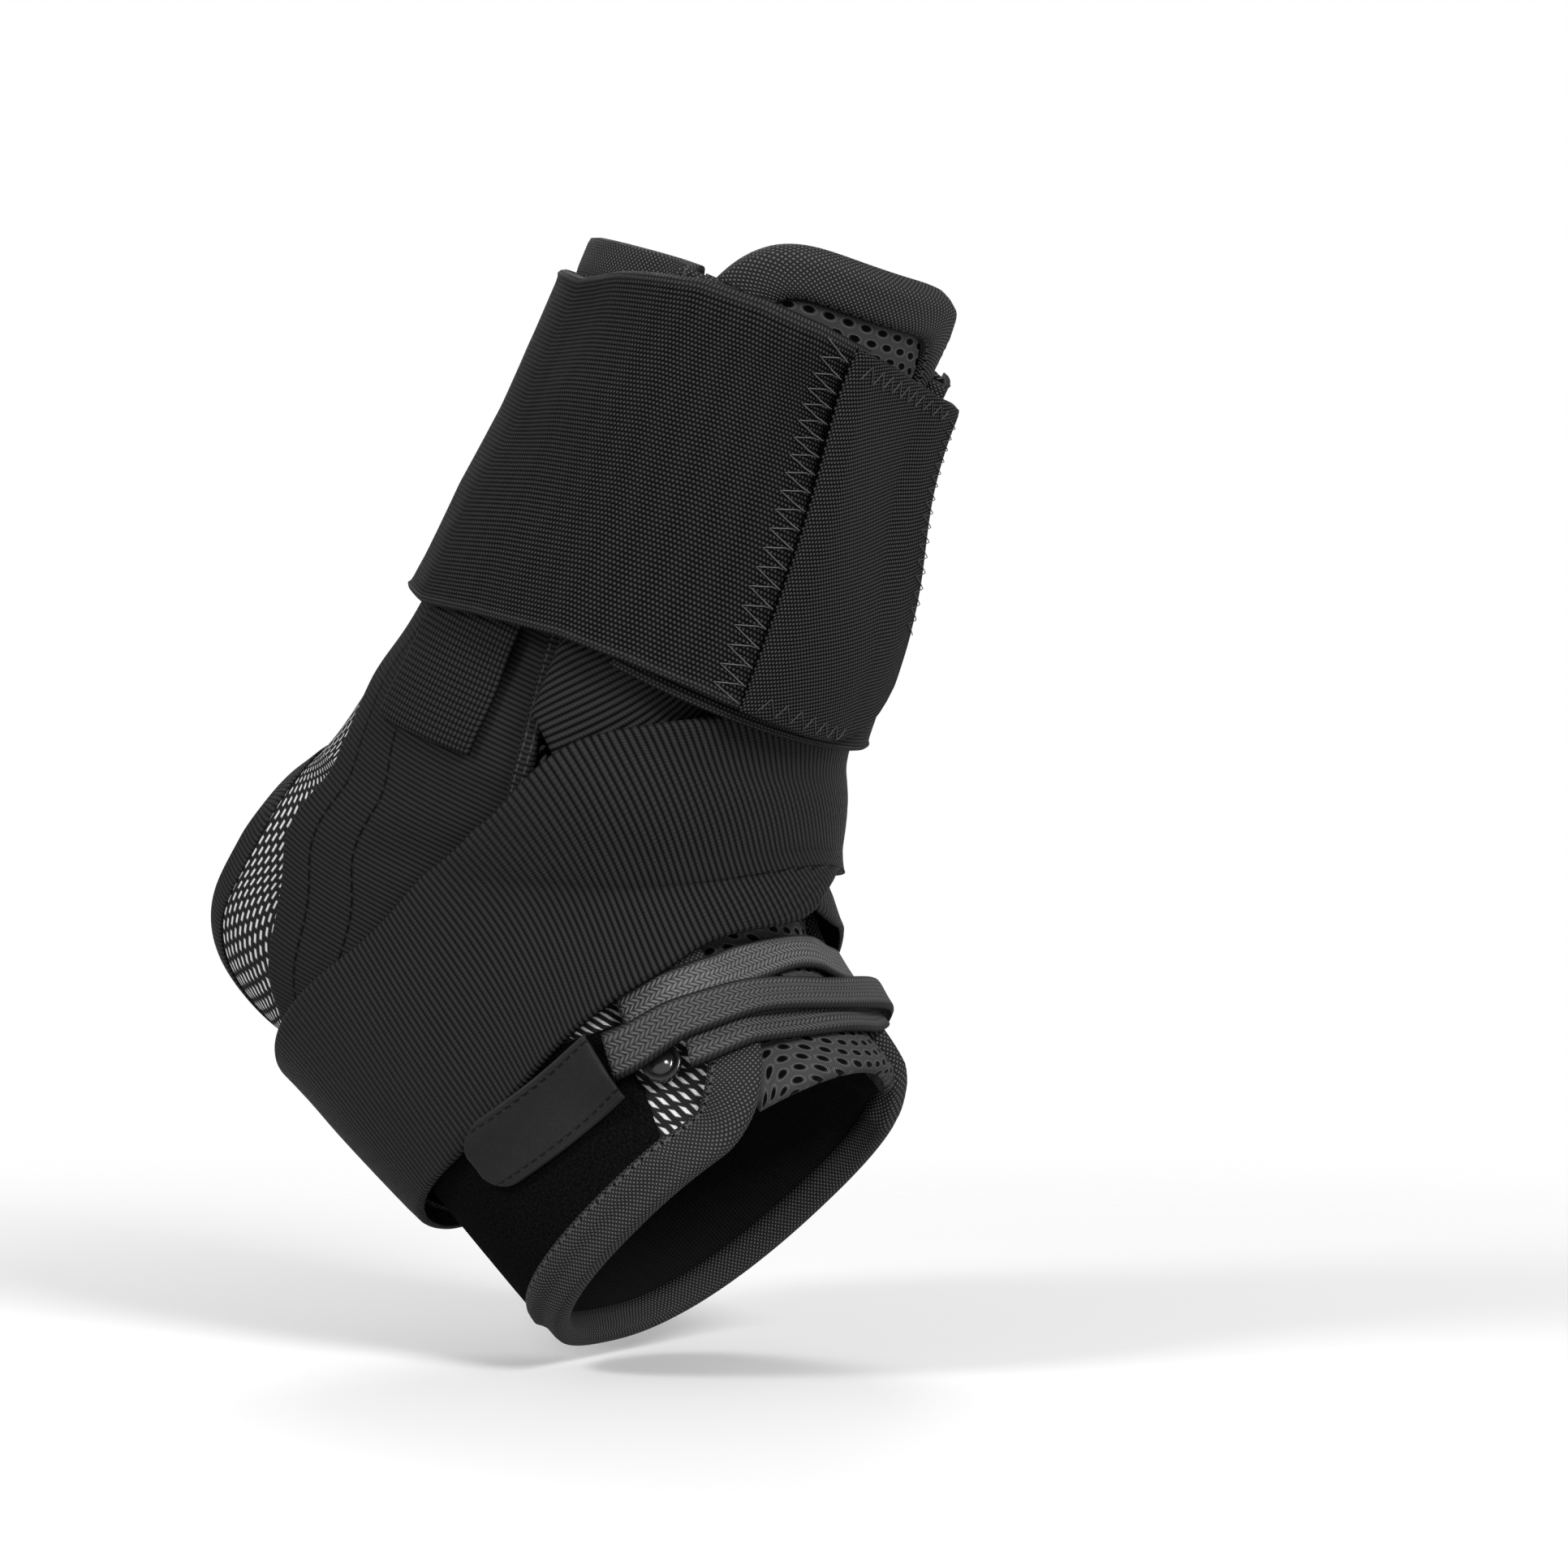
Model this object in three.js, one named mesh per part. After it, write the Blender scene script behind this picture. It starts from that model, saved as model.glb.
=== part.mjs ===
// Laced ankle brace in its worn form: inner boot, tongue, stay pockets, figure-of-eight straps,
// lacing and a wound cuff. Millimetres, +Z up, +X towards the toes, origin at the ankle's centre.
import * as THREE from 'three';

// Driving sizes of the worn form; angles in degrees
const heelLift = 41;        // the foot's sole drops towards the toes by this much
const legLean = 16.2;       // the leg leans back from square to the sole
const legHeight = 165;      // ankle centre to the top of the form, along the leg
const ankleRise = 45;       // ankle centre to the lowest leg section, along the leg
const legDepth = 78;
const legWidth = 70;
const footReach = 96;       // ankle centre forwards to the last section's sole
const heelReach = 65;       // ankle centre back to the heel
const soleDrop = 68.5;       // ankle centre down to the sole
const instepRise = 46.5;    // ankle centre up to the first foot section's front
const footWidth = 79;

// Cloth thicknesses and the clearance between layers
const bootWall = 2.2;
const tongueWall = 3.4;
const bindingWall = 1.0;
const panelWall = 1.2;
const edgeWall = 0.85;      // folded front edge of a stay pocket
const pileWall = 0.9;
const strapWall = 1.5;
const laceWall = 1.3;
const cuffWall = 1.5;
const tabWall = 2.0;
const flangeWall = 0.7;     // a binding's flange inside the edge
const layerGap = 0.45;      // between one layer and the next
const stripGap = 0.6;       // under a strip laid at a slant to the layers below
const strapGap = 1.25;      // under the wide ankle straps
const skinGap = 0.3;        // between the form and the first layer

// Widths and lengths of the pieces
const strapWidth = 51;
const strapTuck = 24;       // how far a strap's upper end follows the pocket's front edge, per half width
const anchorWidth = 25;
const anchorSlant = 2.2;      // how far its lower end slants, per half width
const laceWidth = 10;
const pullTabWidth = 15;
const pocketEdgeWidth = 3.2;
const bindingWidth = 8.5;   // binding seen from outside
const bindingTurn = 5;      // binding turned in behind the edge
const heelTapeWidth = 5;
const cuffWidth = 78;
const cuffTop = 130;        // height of the cuff's top edge at the front, along the leg
const tabCorner = 24;       // radius of the tab's lower corner
const studRadius = 4.2;
const studHeight = 2.4;

// Facet lengths
const wideFacet = 8;
const fineFacet = 6.5;
const cuffBands = 8;        // facets over the cuff's width
const cuffReach = (1.1 * cuffWidth) / cuffBands;

// Bindings: width seen outside, turn hidden inside, wall, extra height of a padded roll, slack over
// the sheet outside and inside, and the gap at the fold
const bindings = {
  tongue: { width: bindingWidth, turn: bindingTurn, wall: bindingWall, roll: 1.4, over: 0.2, under: 0, fold: layerGap },
  boot: { width: bindingWidth, turn: bindingTurn, wall: 1.4, roll: 0, over: 0.5, under: 0.15, fold: layerGap },
  heel: { width: heelTapeWidth, turn: 3.5, wall: bindingWall, roll: 0, over: 1, under: 1, fold: 2 * layerGap },
};

const radians = THREE.MathUtils.degToRad;
const lerp = THREE.MathUtils.lerp;
const clamp = THREE.MathUtils.clamp;
const smoothstep = THREE.MathUtils.smoothstep;

// Leg sections from the top down, evenly spaced: shares of the leg's depth and width
const legSections = [
  { front: 0.460, back: 0.495, side: 0.460 },
  { front: 0.370, back: 0.500, side: 0.465 },
  { front: 0.425, back: 0.530, side: 0.480 },
  { front: 0.450, back: 0.580, side: 0.515 },
];

// Foot sections from the ankle round the heel to the forefoot. The front point is a share of the
// foot's reach and the instep's rise; the back point goes behind (heel reach) or ahead (foot reach)
// and up or down (sole drop); side is a share of the foot's width, blunt the back's squareness.
const footSections = [
  { frontAlong: 0.318, frontUp: 0.875, behind: 0.850, ahead: 0.000, backUp: 0.070, side: 0.494, blunt: 2.0 },
  { frontAlong: 0.373, frontUp: 0.725, behind: 0.865, ahead: 0.000, backUp: -0.282, side: 0.481, blunt: 2.0 },
  { frontAlong: 0.437, frontUp: 0.625, behind: 0.965, ahead: 0.000, backUp: -0.704, side: 0.456, blunt: 2.5 },
  { frontAlong: 0.495, frontUp: 0.570, behind: 0.700, ahead: 0.000, backUp: -0.986, side: 0.449, blunt: 2.8 },
  { frontAlong: 0.563, frontUp: 0.455, behind: 0.030, ahead: 0.000, backUp: -1.000, side: 0.462, blunt: 2.6 },
  { frontAlong: 0.705, frontUp: 0.358, behind: 0.000, ahead: 0.396, backUp: -0.986, side: 0.475, blunt: 2.5 },
  { frontAlong: 0.872, frontUp: 0.318, behind: 0.000, ahead: 0.729, backUp: -0.986, side: 0.487, blunt: 2.5 },
  { frontAlong: 1.028, frontUp: 0.240, behind: 0.000, ahead: 1.000, backUp: -0.986, side: 0.500, blunt: 2.5 },
];

const lastStation = legSections.length + footSections.length - 1;
const legStep = (legHeight - ankleRise) / (legSections.length - 1);
const stationOf = (height) => (legHeight - height) / legStep;

// One section as plain numbers: front point, back point, half width, squareness of the back
function legSection(row, index) {
  const height = legHeight - index * legStep;
  const lean = radians(legLean);
  const axis = [-height * Math.sin(lean), height * Math.cos(lean)];
  const reach = (share) => [axis[0] + share * legDepth * Math.cos(lean), axis[1] + share * legDepth * Math.sin(lean)];
  return [...reach(row.front), ...reach(-row.back), row.side * legWidth, 2];
}

function footSection(row) {
  return [row.frontAlong * footReach, row.frontUp * instepRise,
    row.ahead * footReach - row.behind * heelReach, row.backUp * soleDrop,
    row.side * footWidth, row.blunt];
}

const sections = [...legSections.map(legSection), ...footSections.map(footSection)];

// Smooth curve through equally spaced rows of numbers
function along(rows, position) {
  const place = clamp(position, 0, rows.length - 1);
  const first = Math.min(Math.floor(place), rows.length - 2);
  const t = place - first;
  const row = (index) => rows[clamp(index, 0, rows.length - 1)];
  return row(first).map((_, k) => {
    const [a, b, c, d] = [first - 1, first, first + 1, first + 2].map((index) => row(index)[k]);
    return 0.5 * (2 * b + (c - a) * t + (2 * a - 5 * b + 4 * c - d) * t * t + (3 * b - a - 3 * c + d) * t ** 3);
  });
}

// A value that follows a table of stations (or angles) and values, straight between its rows
function follow(table, position) {
  const next = table.findIndex(([at]) => at >= position);
  if (next === 0) return table[0][1];
  if (next < 0) return table[table.length - 1][1];
  const [from, low] = table[next - 1];
  const [to, high] = table[next];
  return lerp(low, high, (position - from) / (to - from));
}

// Point of the form at a place: station down the form, angle round it from the front (near side < 0)
function formPoint({ station, angle }) {
  const [frontX, frontZ, backX, backZ, half, blunt] = along(sections, station);
  const c = Math.cos(radians(angle));
  const s = Math.sin(radians(angle));
  const squareness = lerp(2, blunt, (1 - c) / 2);
  const size = (Math.abs(c) ** squareness + Math.abs(s) ** squareness) ** (-1 / squareness);
  const depth = size * c;
  return new THREE.Vector3(
    (frontX + backX) / 2 + depth * (frontX - backX) / 2,
    half * size * s,
    (frontZ + backZ) / 2 + depth * (frontZ - backZ) / 2,
  );
}

// Point, the two directions of travel and the outward normal at a place
function formFrame(place) {
  const step = 0.002;
  const point = formPoint(place);
  const down = formPoint({ station: place.station + step, angle: place.angle })
    .sub(formPoint({ station: place.station - step, angle: place.angle })).divideScalar(2 * step);
  const turn = step * 50;
  const round = formPoint({ station: place.station, angle: place.angle + turn })
    .sub(formPoint({ station: place.station, angle: place.angle - turn })).divideScalar(2 * turn);
  const out = new THREE.Vector3().crossVectors(down, round).normalize();
  return { point, down, round, out };
}

// Point standing off the form by a lift
function skin(place, lift) {
  const { point, out } = formFrame(place);
  return point.addScaledVector(out, lift);
}

// Walks straight over the form from a place, in a direction of space, for a distance
function walk(place, direction, distance) {
  const steps = Math.max(1, Math.ceil(Math.abs(distance) / 3));
  const stride = distance / steps;
  let here = { ...place };
  const heading = direction.clone();
  for (let i = 0; i < steps; i += 1) {
    const { down, round, out } = formFrame(here);
    heading.addScaledVector(out, -heading.dot(out)).normalize();
    const dd = down.dot(down);
    const rr = round.dot(round);
    const dr = down.dot(round);
    const det = dd * rr - dr * dr;
    const hd = heading.dot(down) * stride;
    const hr = heading.dot(round) * stride;
    here = { station: here.station + (hd * rr - hr * dr) / det, angle: here.angle + (hr * dd - hd * dr) / det };
  }
  return here;
}

// How far the layers laid so far stand off the form, over a grid of stations and angles
const stationCell = 0.05;
const angleCell = 2;
const stationCells = Math.round(lastStation / stationCell) + 1;
const angleCells = 360 / angleCell;
const cellPlace = (i, j) => ({ station: i * stationCell, angle: j * angleCell });

// Number of cells that a length covers, down the form and round it, at every cell
const cellSize = {
  down: new Float64Array(stationCells * angleCells),
  round: new Float64Array(stationCells * angleCells),
};
for (let i = 0; i < stationCells; i += 1) {
  for (let j = 0; j < angleCells; j += 1) {
    const { down, round } = formFrame(cellPlace(i, j));
    cellSize.down[i * angleCells + j] = Math.max(0.2, down.length() * stationCell);
    cellSize.round[i * angleCells + j] = Math.max(0.5, round.length() * angleCell);
  }
}

class Relief {
  constructor(lift = new Float64Array(stationCells * angleCells)) {
    this.lift = lift;
  }

  copy() {
    return new Relief(this.lift.slice());
  }

  cell(i, j) {
    const row = clamp(i, 0, stationCells - 1);
    return row * angleCells + ((j % angleCells) + angleCells) % angleCells;
  }

  at({ station, angle }) {
    const x = clamp(station / stationCell, 0, stationCells - 1.001);
    const y = angle / angleCell;
    const [i, j] = [Math.floor(x), Math.floor(y)];
    const low = lerp(this.lift[this.cell(i, j)], this.lift[this.cell(i, j + 1)], y - j);
    const high = lerp(this.lift[this.cell(i + 1, j)], this.lift[this.cell(i + 1, j + 1)], y - j);
    return lerp(low, high, x - i);
  }

  // Raises the relief to the outer face of a sheet, given by its grid of nodes
  raise(grid) {
    for (let a = 0; a + 1 < grid.length; a += 1) {
      for (let b = 0; b + 1 < grid[a].length; b += 1) {
        this.raiseQuad([grid[a][b], grid[a + 1][b], grid[a][b + 1], grid[a + 1][b + 1]]);
      }
    }
    return this;
  }

  raiseQuad([p, q, r, s]) {
    const span = (key, cell) => {
      const reach = [p.place[key] - s.place[key], q.place[key] - r.place[key]].map(Math.abs);
      return Math.max(...reach) / cell;
    };
    const parts = Math.ceil(1.3 * Math.max(span('station', stationCell), span('angle', angleCell))) + 1;
    const mix = (key, u, v) => lerp(lerp(p.place[key], q.place[key], u), lerp(r.place[key], s.place[key], u), v);
    for (let m = 0; m <= parts; m += 1) {
      for (let n = 0; n <= parts; n += 1) {
        const [u, v] = [m / parts, n / parts];
        const lift = lerp(lerp(p.outer, q.outer, u), lerp(r.outer, s.outer, u), v);
        const [i, j] = [mix('station', u, v) / stationCell, mix('angle', u, v) / angleCell].map(Math.round);
        const cell = this.cell(i, j);
        this.lift[cell] = Math.max(this.lift[cell], lift);
      }
    }
  }

  // Passes a window of a given reach over the relief in one direction
  windowed(reach, size, offset, combine) {
    const result = new Float64Array(this.lift.length);
    for (let i = 0; i < stationCells; i += 1) {
      for (let j = 0; j < angleCells; j += 1) {
        const here = i * angleCells + j;
        const cells = Math.min(40, Math.ceil(reach / size[here]));
        result[here] = combine(cells, (k) => this.lift[this.cell(i + offset[0] * k, j + offset[1] * k)]);
      }
    }
    return new Relief(result);
  }

  // The lift that a further layer needs to pass clear of everything within reach
  eased(reach) {
    const highest = (cells, value) => {
      let top = -Infinity;
      for (let k = -cells; k <= cells; k += 1) top = Math.max(top, value(k));
      return top;
    };
    const mean = (cells, value) => {
      let sum = 0;
      for (let k = -cells; k <= cells; k += 1) sum += value(k);
      return sum / (2 * cells + 1);
    };
    return this.windowed(reach, cellSize.down, [1, 0], highest).windowed(reach, cellSize.round, [0, 1], highest)
      .windowed(reach * 0.8, cellSize.down, [1, 0], mean).windowed(reach * 0.8, cellSize.round, [0, 1], mean);
  }
}

// Grid of nodes for a sheet: a place, and the lifts of its inner and outer faces
function sheetGrid(rows, columns, placeAt, baseAt, wall) {
  return Array.from({ length: rows + 1 }, (_, i) => Array.from({ length: columns + 1 }, (__, j) => {
    const place = placeAt(i / rows, j / columns);
    const inner = baseAt(place, i / rows, j / columns);
    return { place, inner, outer: inner + wall };
  }));
}

// Closed body between the inner and outer faces of one or more grids that share edge nodes
function sheetBody(faces) {
  const positions = [];
  const ids = new Map();
  const idOf = (point) => {
    const key = point.toArray().map((value) => Math.round(value * 1000)).join();
    if (!ids.has(key)) {
      ids.set(key, positions.length / 3);
      positions.push(...point.toArray());
    }
    return ids.get(key);
  };
  const triangles = [];
  const quad = (a, b, c, d) => [[a, b, c], [a, c, d]].forEach((triangle) => {
    if (new Set(triangle).size === 3) triangles.push(triangle);
  });
  const edges = new Map();
  const partner = new Map();
  faces.forEach(({ inner, outer }) => {
    const outerId = outer.map((row) => row.map(idOf));
    const innerId = inner.map((row) => row.map(idOf));
    outerId.forEach((row, i) => row.forEach((id, j) => partner.set(id, innerId[i][j])));
    let facing = 0;
    for (let i = 0; i + 1 < outer.length; i += 1) {
      for (let j = 0; j + 1 < outer[0].length; j += 1) {
        const side = outer[i + 1][j].clone().sub(outer[i][j]).cross(outer[i][j + 1].clone().sub(outer[i][j]));
        facing += side.dot(outer[i][j].clone().sub(inner[i][j]));
      }
    }
    const flip = facing < 0;
    for (let i = 0; i + 1 < outer.length; i += 1) {
      for (let j = 0; j + 1 < outer[0].length; j += 1) {
        const ring = [[i, j], [i + 1, j], [i + 1, j + 1], [i, j + 1]];
        if (flip) ring.reverse();
        const face = ring.map(([a, b]) => outerId[a][b]);
        quad(...face);
        quad(...ring.map(([a, b]) => innerId[a][b]).reverse());
        face.forEach((id, k) => {
          const next = face[(k + 1) % 4];
          if (id !== next) edges.set(`${id},${next}`, [id, next]);
        });
      }
    }
  });
  edges.forEach(([a, b]) => {
    if (!edges.has(`${b},${a}`)) quad(b, a, partner.get(a), partner.get(b));
  });
  const geometry = new THREE.BufferGeometry();
  geometry.setAttribute('position', new THREE.Float32BufferAttribute(positions, 3));
  geometry.setIndex(triangles.flat());
  return geometry;
}

const facesOf = (grid) => ({
  inner: grid.map((row) => row.map((node) => skin(node.place, node.inner))),
  outer: grid.map((row) => row.map((node) => skin(node.place, node.outer))),
});

// The piece list and the relief that each new piece is laid on
const pieces = [];
let relief = new Relief();

function addPiece(name, material, geometry) {
  pieces.push({ name, material, geometry });
}

// Lays a sheet over everything so far and raises the relief
function lay(name, material, grids) {
  addPiece(name, material, sheetBody(grids.map(facesOf)));
  grids.forEach((grid) => relief.raise(grid));
}

// Grid of places over a strip with a centre line through chosen places and a constant width
function stripPlaces(centre, width, side) {
  const rows = centre.map(({ station, angle }) => [station, angle]);
  const count = 160;
  const line = Array.from({ length: count + 1 }, (_, i) => {
    const [station, angle] = along(rows, (i / count) * (rows.length - 1));
    return { station, angle: side * angle };
  });
  const points = line.map(formPoint);
  const travelled = [0];
  points.slice(1).forEach((point, i) => travelled.push(travelled[i] + point.distanceTo(points[i])));
  const length = travelled[count];
  const lines = 9;
  const lattice = line.map((place, i) => {
    const ahead = points[Math.min(i + 1, count)].clone().sub(points[Math.max(i - 1, 0)]).normalize();
    const across = new THREE.Vector3().crossVectors(formFrame(place).out, ahead).normalize();
    return Array.from({ length: lines }, (_, k) => walk(place, across, side * width * (k / (lines - 1) - 0.5)));
  });
  // distance: along the centre line; across: -1 to 1 over the width
  const placeAt = (distance, across) => {
    const target = clamp(distance, 0, length);
    const next = Math.max(1, travelled.findIndex((value) => value >= target));
    const t = (target - travelled[next - 1]) / (travelled[next] - travelled[next - 1]);
    const column = clamp((across + 1) / 2, 0, 0.9999) * (lines - 1);
    const k = Math.floor(column);
    const mix = (key) => lerp(
      lerp(lattice[next - 1][k][key], lattice[next - 1][k + 1][key], column - k),
      lerp(lattice[next][k][key], lattice[next][k + 1][key], column - k), t,
    );
    return { station: mix('station'), angle: mix('angle') };
  };
  return { length, placeAt };
}

// Strip grid with slanted ends; slants are lengths gained per half width
function stripGrid({ centre, width, wall, side, startSlant = 0, endSlant = 0, facet = fineFacet, gap = stripGap, tip = null }) {
  const strip = stripPlaces(centre, width, side);
  const rows = Math.ceil(strip.length / facet);
  const columns = Math.max(2, Math.ceil(width / (facet * 1.3)));
  const base = relief.eased(1.25 * Math.max(facet, width / columns));
  return sheetGrid(rows, columns, (s, t) => {
    const across = 2 * t - 1;
    const start = Math.abs(startSlant) + startSlant * across;
    const end = strip.length - Math.abs(endSlant) + endSlant * across;
    const distance = lerp(start, end, s);
    const narrow = tip ? tip(distance, strip.length) : 1;
    return strip.placeAt(distance, across * narrow);
  }, (place) => base.at(place) + gap, wall);
}

// Outline of the lacing gap: it is turned a little to the near side at the top of the leg
const gapTurn = [[0.4, -27], [2, -15], [3.2, -7], [4.8, 0]];
const gapHalf = [[0.7, 48], [3, 42], [5, 38], [8, 35], [11, 35]];
const gapCentre = (station) => follow(gapTurn, station);
const lacingEdge = (station) => follow(gapHalf, station);

// Tongue of padded air mesh, wider than the lacing gap, with rounded top corners
const tongueOverlap = 7;     // degrees that the tongue reaches behind each lacing edge
const tongueTop = 0.5;
const tongueEnd = 10.1;
function tonguePlace(s, t) {
  const across = 2 * t - 1;
  const station = lerp(tongueTop + 0.5 * Math.abs(across) ** 5, tongueEnd, s);
  return { station, angle: gapCentre(station) + across * (lacingEdge(station) + tongueOverlap) };
}

// Shares of the way from one station to another, evenly spaced by distance along a chosen angle
function evenStations(from, to, angle, facet) {
  const count = 400;
  const places = Array.from({ length: count + 1 }, (_, i) => ({ station: lerp(from, to, i / count), angle }));
  const travelled = [0];
  places.slice(1).forEach((place, i) => travelled.push(travelled[i] + formPoint(place).distanceTo(formPoint(places[i]))));
  const rows = Math.ceil(travelled[count] / facet);
  return Array.from({ length: rows + 1 }, (_, i) => {
    const reached = (travelled[count] * i) / rows - 1e-9;
    return travelled.findIndex((value) => value >= reached) / count;
  });
}

// Binding folded round an edge: a domed flange outside, the fold, and a thin flange inside
function bindingFaces(edge, { width, turn, wall, roll, over, under, fold }, baseAt, closed) {
  const nodes = closed ? [...edge, edge[0]] : edge;
  const inner = [];
  const outer = [];
  const flange = [];
  nodes.forEach((node, i) => {
    const before = closed ? nodes[(i - 1 + edge.length) % edge.length] : nodes[Math.max(i - 1, 0)];
    const after = closed ? nodes[(i + 1) % edge.length] : nodes[Math.min(i + 1, nodes.length - 1)];
    const { out } = formFrame(node.place);
    const run = formPoint(after.place).sub(formPoint(before.place)).normalize();
    const inward = new THREE.Vector3().crossVectors(out, run).normalize();
    const [tip, middle, hidden] = [width, width / 2, turn].map((reach) => walk(node.place, inward, reach));
    const top = node.outer + layerGap + over;
    const bottom = node.inner - layerGap;
    const tipTop = Math.max(top, relief.at(tip) + layerGap);
    const middleTop = Math.max(top, relief.at(middle) + layerGap);
    const hiddenBottom = Math.min(bottom, baseAt(hidden) - layerGap) - under;
    const beyond = (lift, reach) => skin(node.place, lift).addScaledVector(inward, -reach);
    const dome = roll > 0 ? [[skin(middle, middleTop), skin(middle, middleTop + wall + roll)]] : [];
    const profile = [
      [skin(tip, tipTop), skin(tip, tipTop + wall)],
      ...dome,
      [beyond(top, fold), beyond(top + wall + roll / 2, fold + wall)],
      [beyond(bottom, fold), beyond(bottom - flangeWall, fold + wall)],
      [skin(hidden, hiddenBottom), skin(hidden, hiddenBottom - flangeWall)],
    ];
    inner.push(profile.map((pair) => pair[0]));
    outer.push(profile.map((pair) => pair[1]));
    flange.push([{ place: tip, outer: tipTop + wall }, { place: middle, outer: middleTop + wall + roll },
      { place: walk(node.place, inward, -wall), outer: top + wall + roll / 2 }]);
  });
  return { faces: { inner, outer }, flange };
}

function bind(name, material, edge, size, baseAt, closed = false) {
  const { faces, flange } = bindingFaces(edge, size, baseAt, closed);
  addPiece(name, material, sheetBody([faces]));
  relief.raise(flange);
}

// Cuts a length off each end of a line of nodes
function trimmed(nodes, cut) {
  const shorten = (list) => {
    let left = cut;
    let index = 0;
    while (index + 1 < list.length) {
      const step = formPoint(list[index].place).distanceTo(formPoint(list[index + 1].place));
      if (step > left) break;
      left -= step;
      index += 1;
    }
    const [a, b] = [list[index], list[index + 1]];
    const t = left / formPoint(a.place).distanceTo(formPoint(b.place));
    const mix = (key) => lerp(a.place[key], b.place[key], t);
    const place = { station: mix('station'), angle: mix('angle') };
    return [{ place, inner: lerp(a.inner, b.inner, t), outer: lerp(a.outer, b.outer, t) }, ...list.slice(index + 1)];
  };
  return shorten(shorten(nodes).reverse()).reverse();
}

// Heel hole: half angle of the opening against station, widest behind the ankle
const heelHole = [[5.0, 0], [5.25, 27], [5.7, 45], [6.2, 46], [6.7, 37], [7.15, 29], [7.45, 20], [7.65, 0]];
const heelHoleHalf = (station) => follow(heelHole, station);

// The boot's top and forefoot edges
const collarBack = 1.0;      // nominal station of the boot's first row
const collarTable = [
  [-180, 1.0], [-135, 0.88], [-100, 0.8], [-70, 0.74], [20, 0.88], [60, 0.94], [120, 1.02], [180, 1.0],
];
const forefootEnd = 10.22;
const cornerStart = 62;      // angle where the forefoot edge starts to curve up to the lacing
const cornerRise = 0.8;     // stations that it rises by
const collarTrim = 11.5;     // the collar's binding stops short of the front binding
const bootColumns = 12;      // facets round each half of the boot
const halfTurn = (angle) => THREE.MathUtils.euclideanModulo(angle + 180, 360) - 180;
const collarEdge = (angle) => follow(collarTable, halfTurn(angle));
function forefootEdge(angle) {
  const cornerSpan = cornerStart - gapHalf[gapHalf.length - 1][1];
  const rise = clamp((cornerStart - Math.abs(angle)) / cornerSpan, 0, 1);
  return forefootEnd - cornerRise * rise ** 3;
}

function bootPlace(side, s, t) {
  const nominal = lerp(collarBack, forefootEnd, s);
  const half = lerp(180 - heelHoleHalf(nominal), lacingEdge(nominal), t);
  const angle = gapCentre(nominal) + side * half;
  return { station: lerp(collarEdge(angle), forefootEdge(angle), s), angle };
}

// Room that an inner flange needs under an edge
const flangeRoom = flangeWall + 1.5 * layerGap;

function makeTongue() {
  const boundTo = 2.3;         // station where the tongue's side binding ends
  const stations = evenStations(tongueTop, tongueEnd, -20, 1.5 * fineFacet);
  const rows = stations.length - 1;
  const base = (place) => {
    const half = lacingEdge(place.station) + tongueOverlap;
    const across = Math.abs(place.angle - gapCentre(place.station)) / half;
    const belowBound = smoothstep(place.station, boundTo, boundTo + 1);
    const bySide = smoothstep(across, 0.6, 0.8) * (1 - belowBound);
    const byTop = 1 - smoothstep(place.station, tongueTop + 0.2, tongueTop + 0.5);
    return skinGap + flangeRoom * Math.max(bySide, byTop);
  };
  const grid = sheetGrid(rows, 10, (s, t) => tonguePlace(stations[Math.round(s * rows)], t), base, tongueWall);
  lay('tongue', 'airMesh', [grid]);
  const bound = grid.filter((row) => row[0].place.station < boundTo);
  const near = bound.map((row) => row[0]).reverse();
  const far = bound.map((row) => row[row.length - 1]);
  const edge = [...near, ...grid[0].slice(1, -1), ...far].reverse();
  bind('tongue_binding', 'binding', edge, bindings.tongue, base);
}

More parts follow.
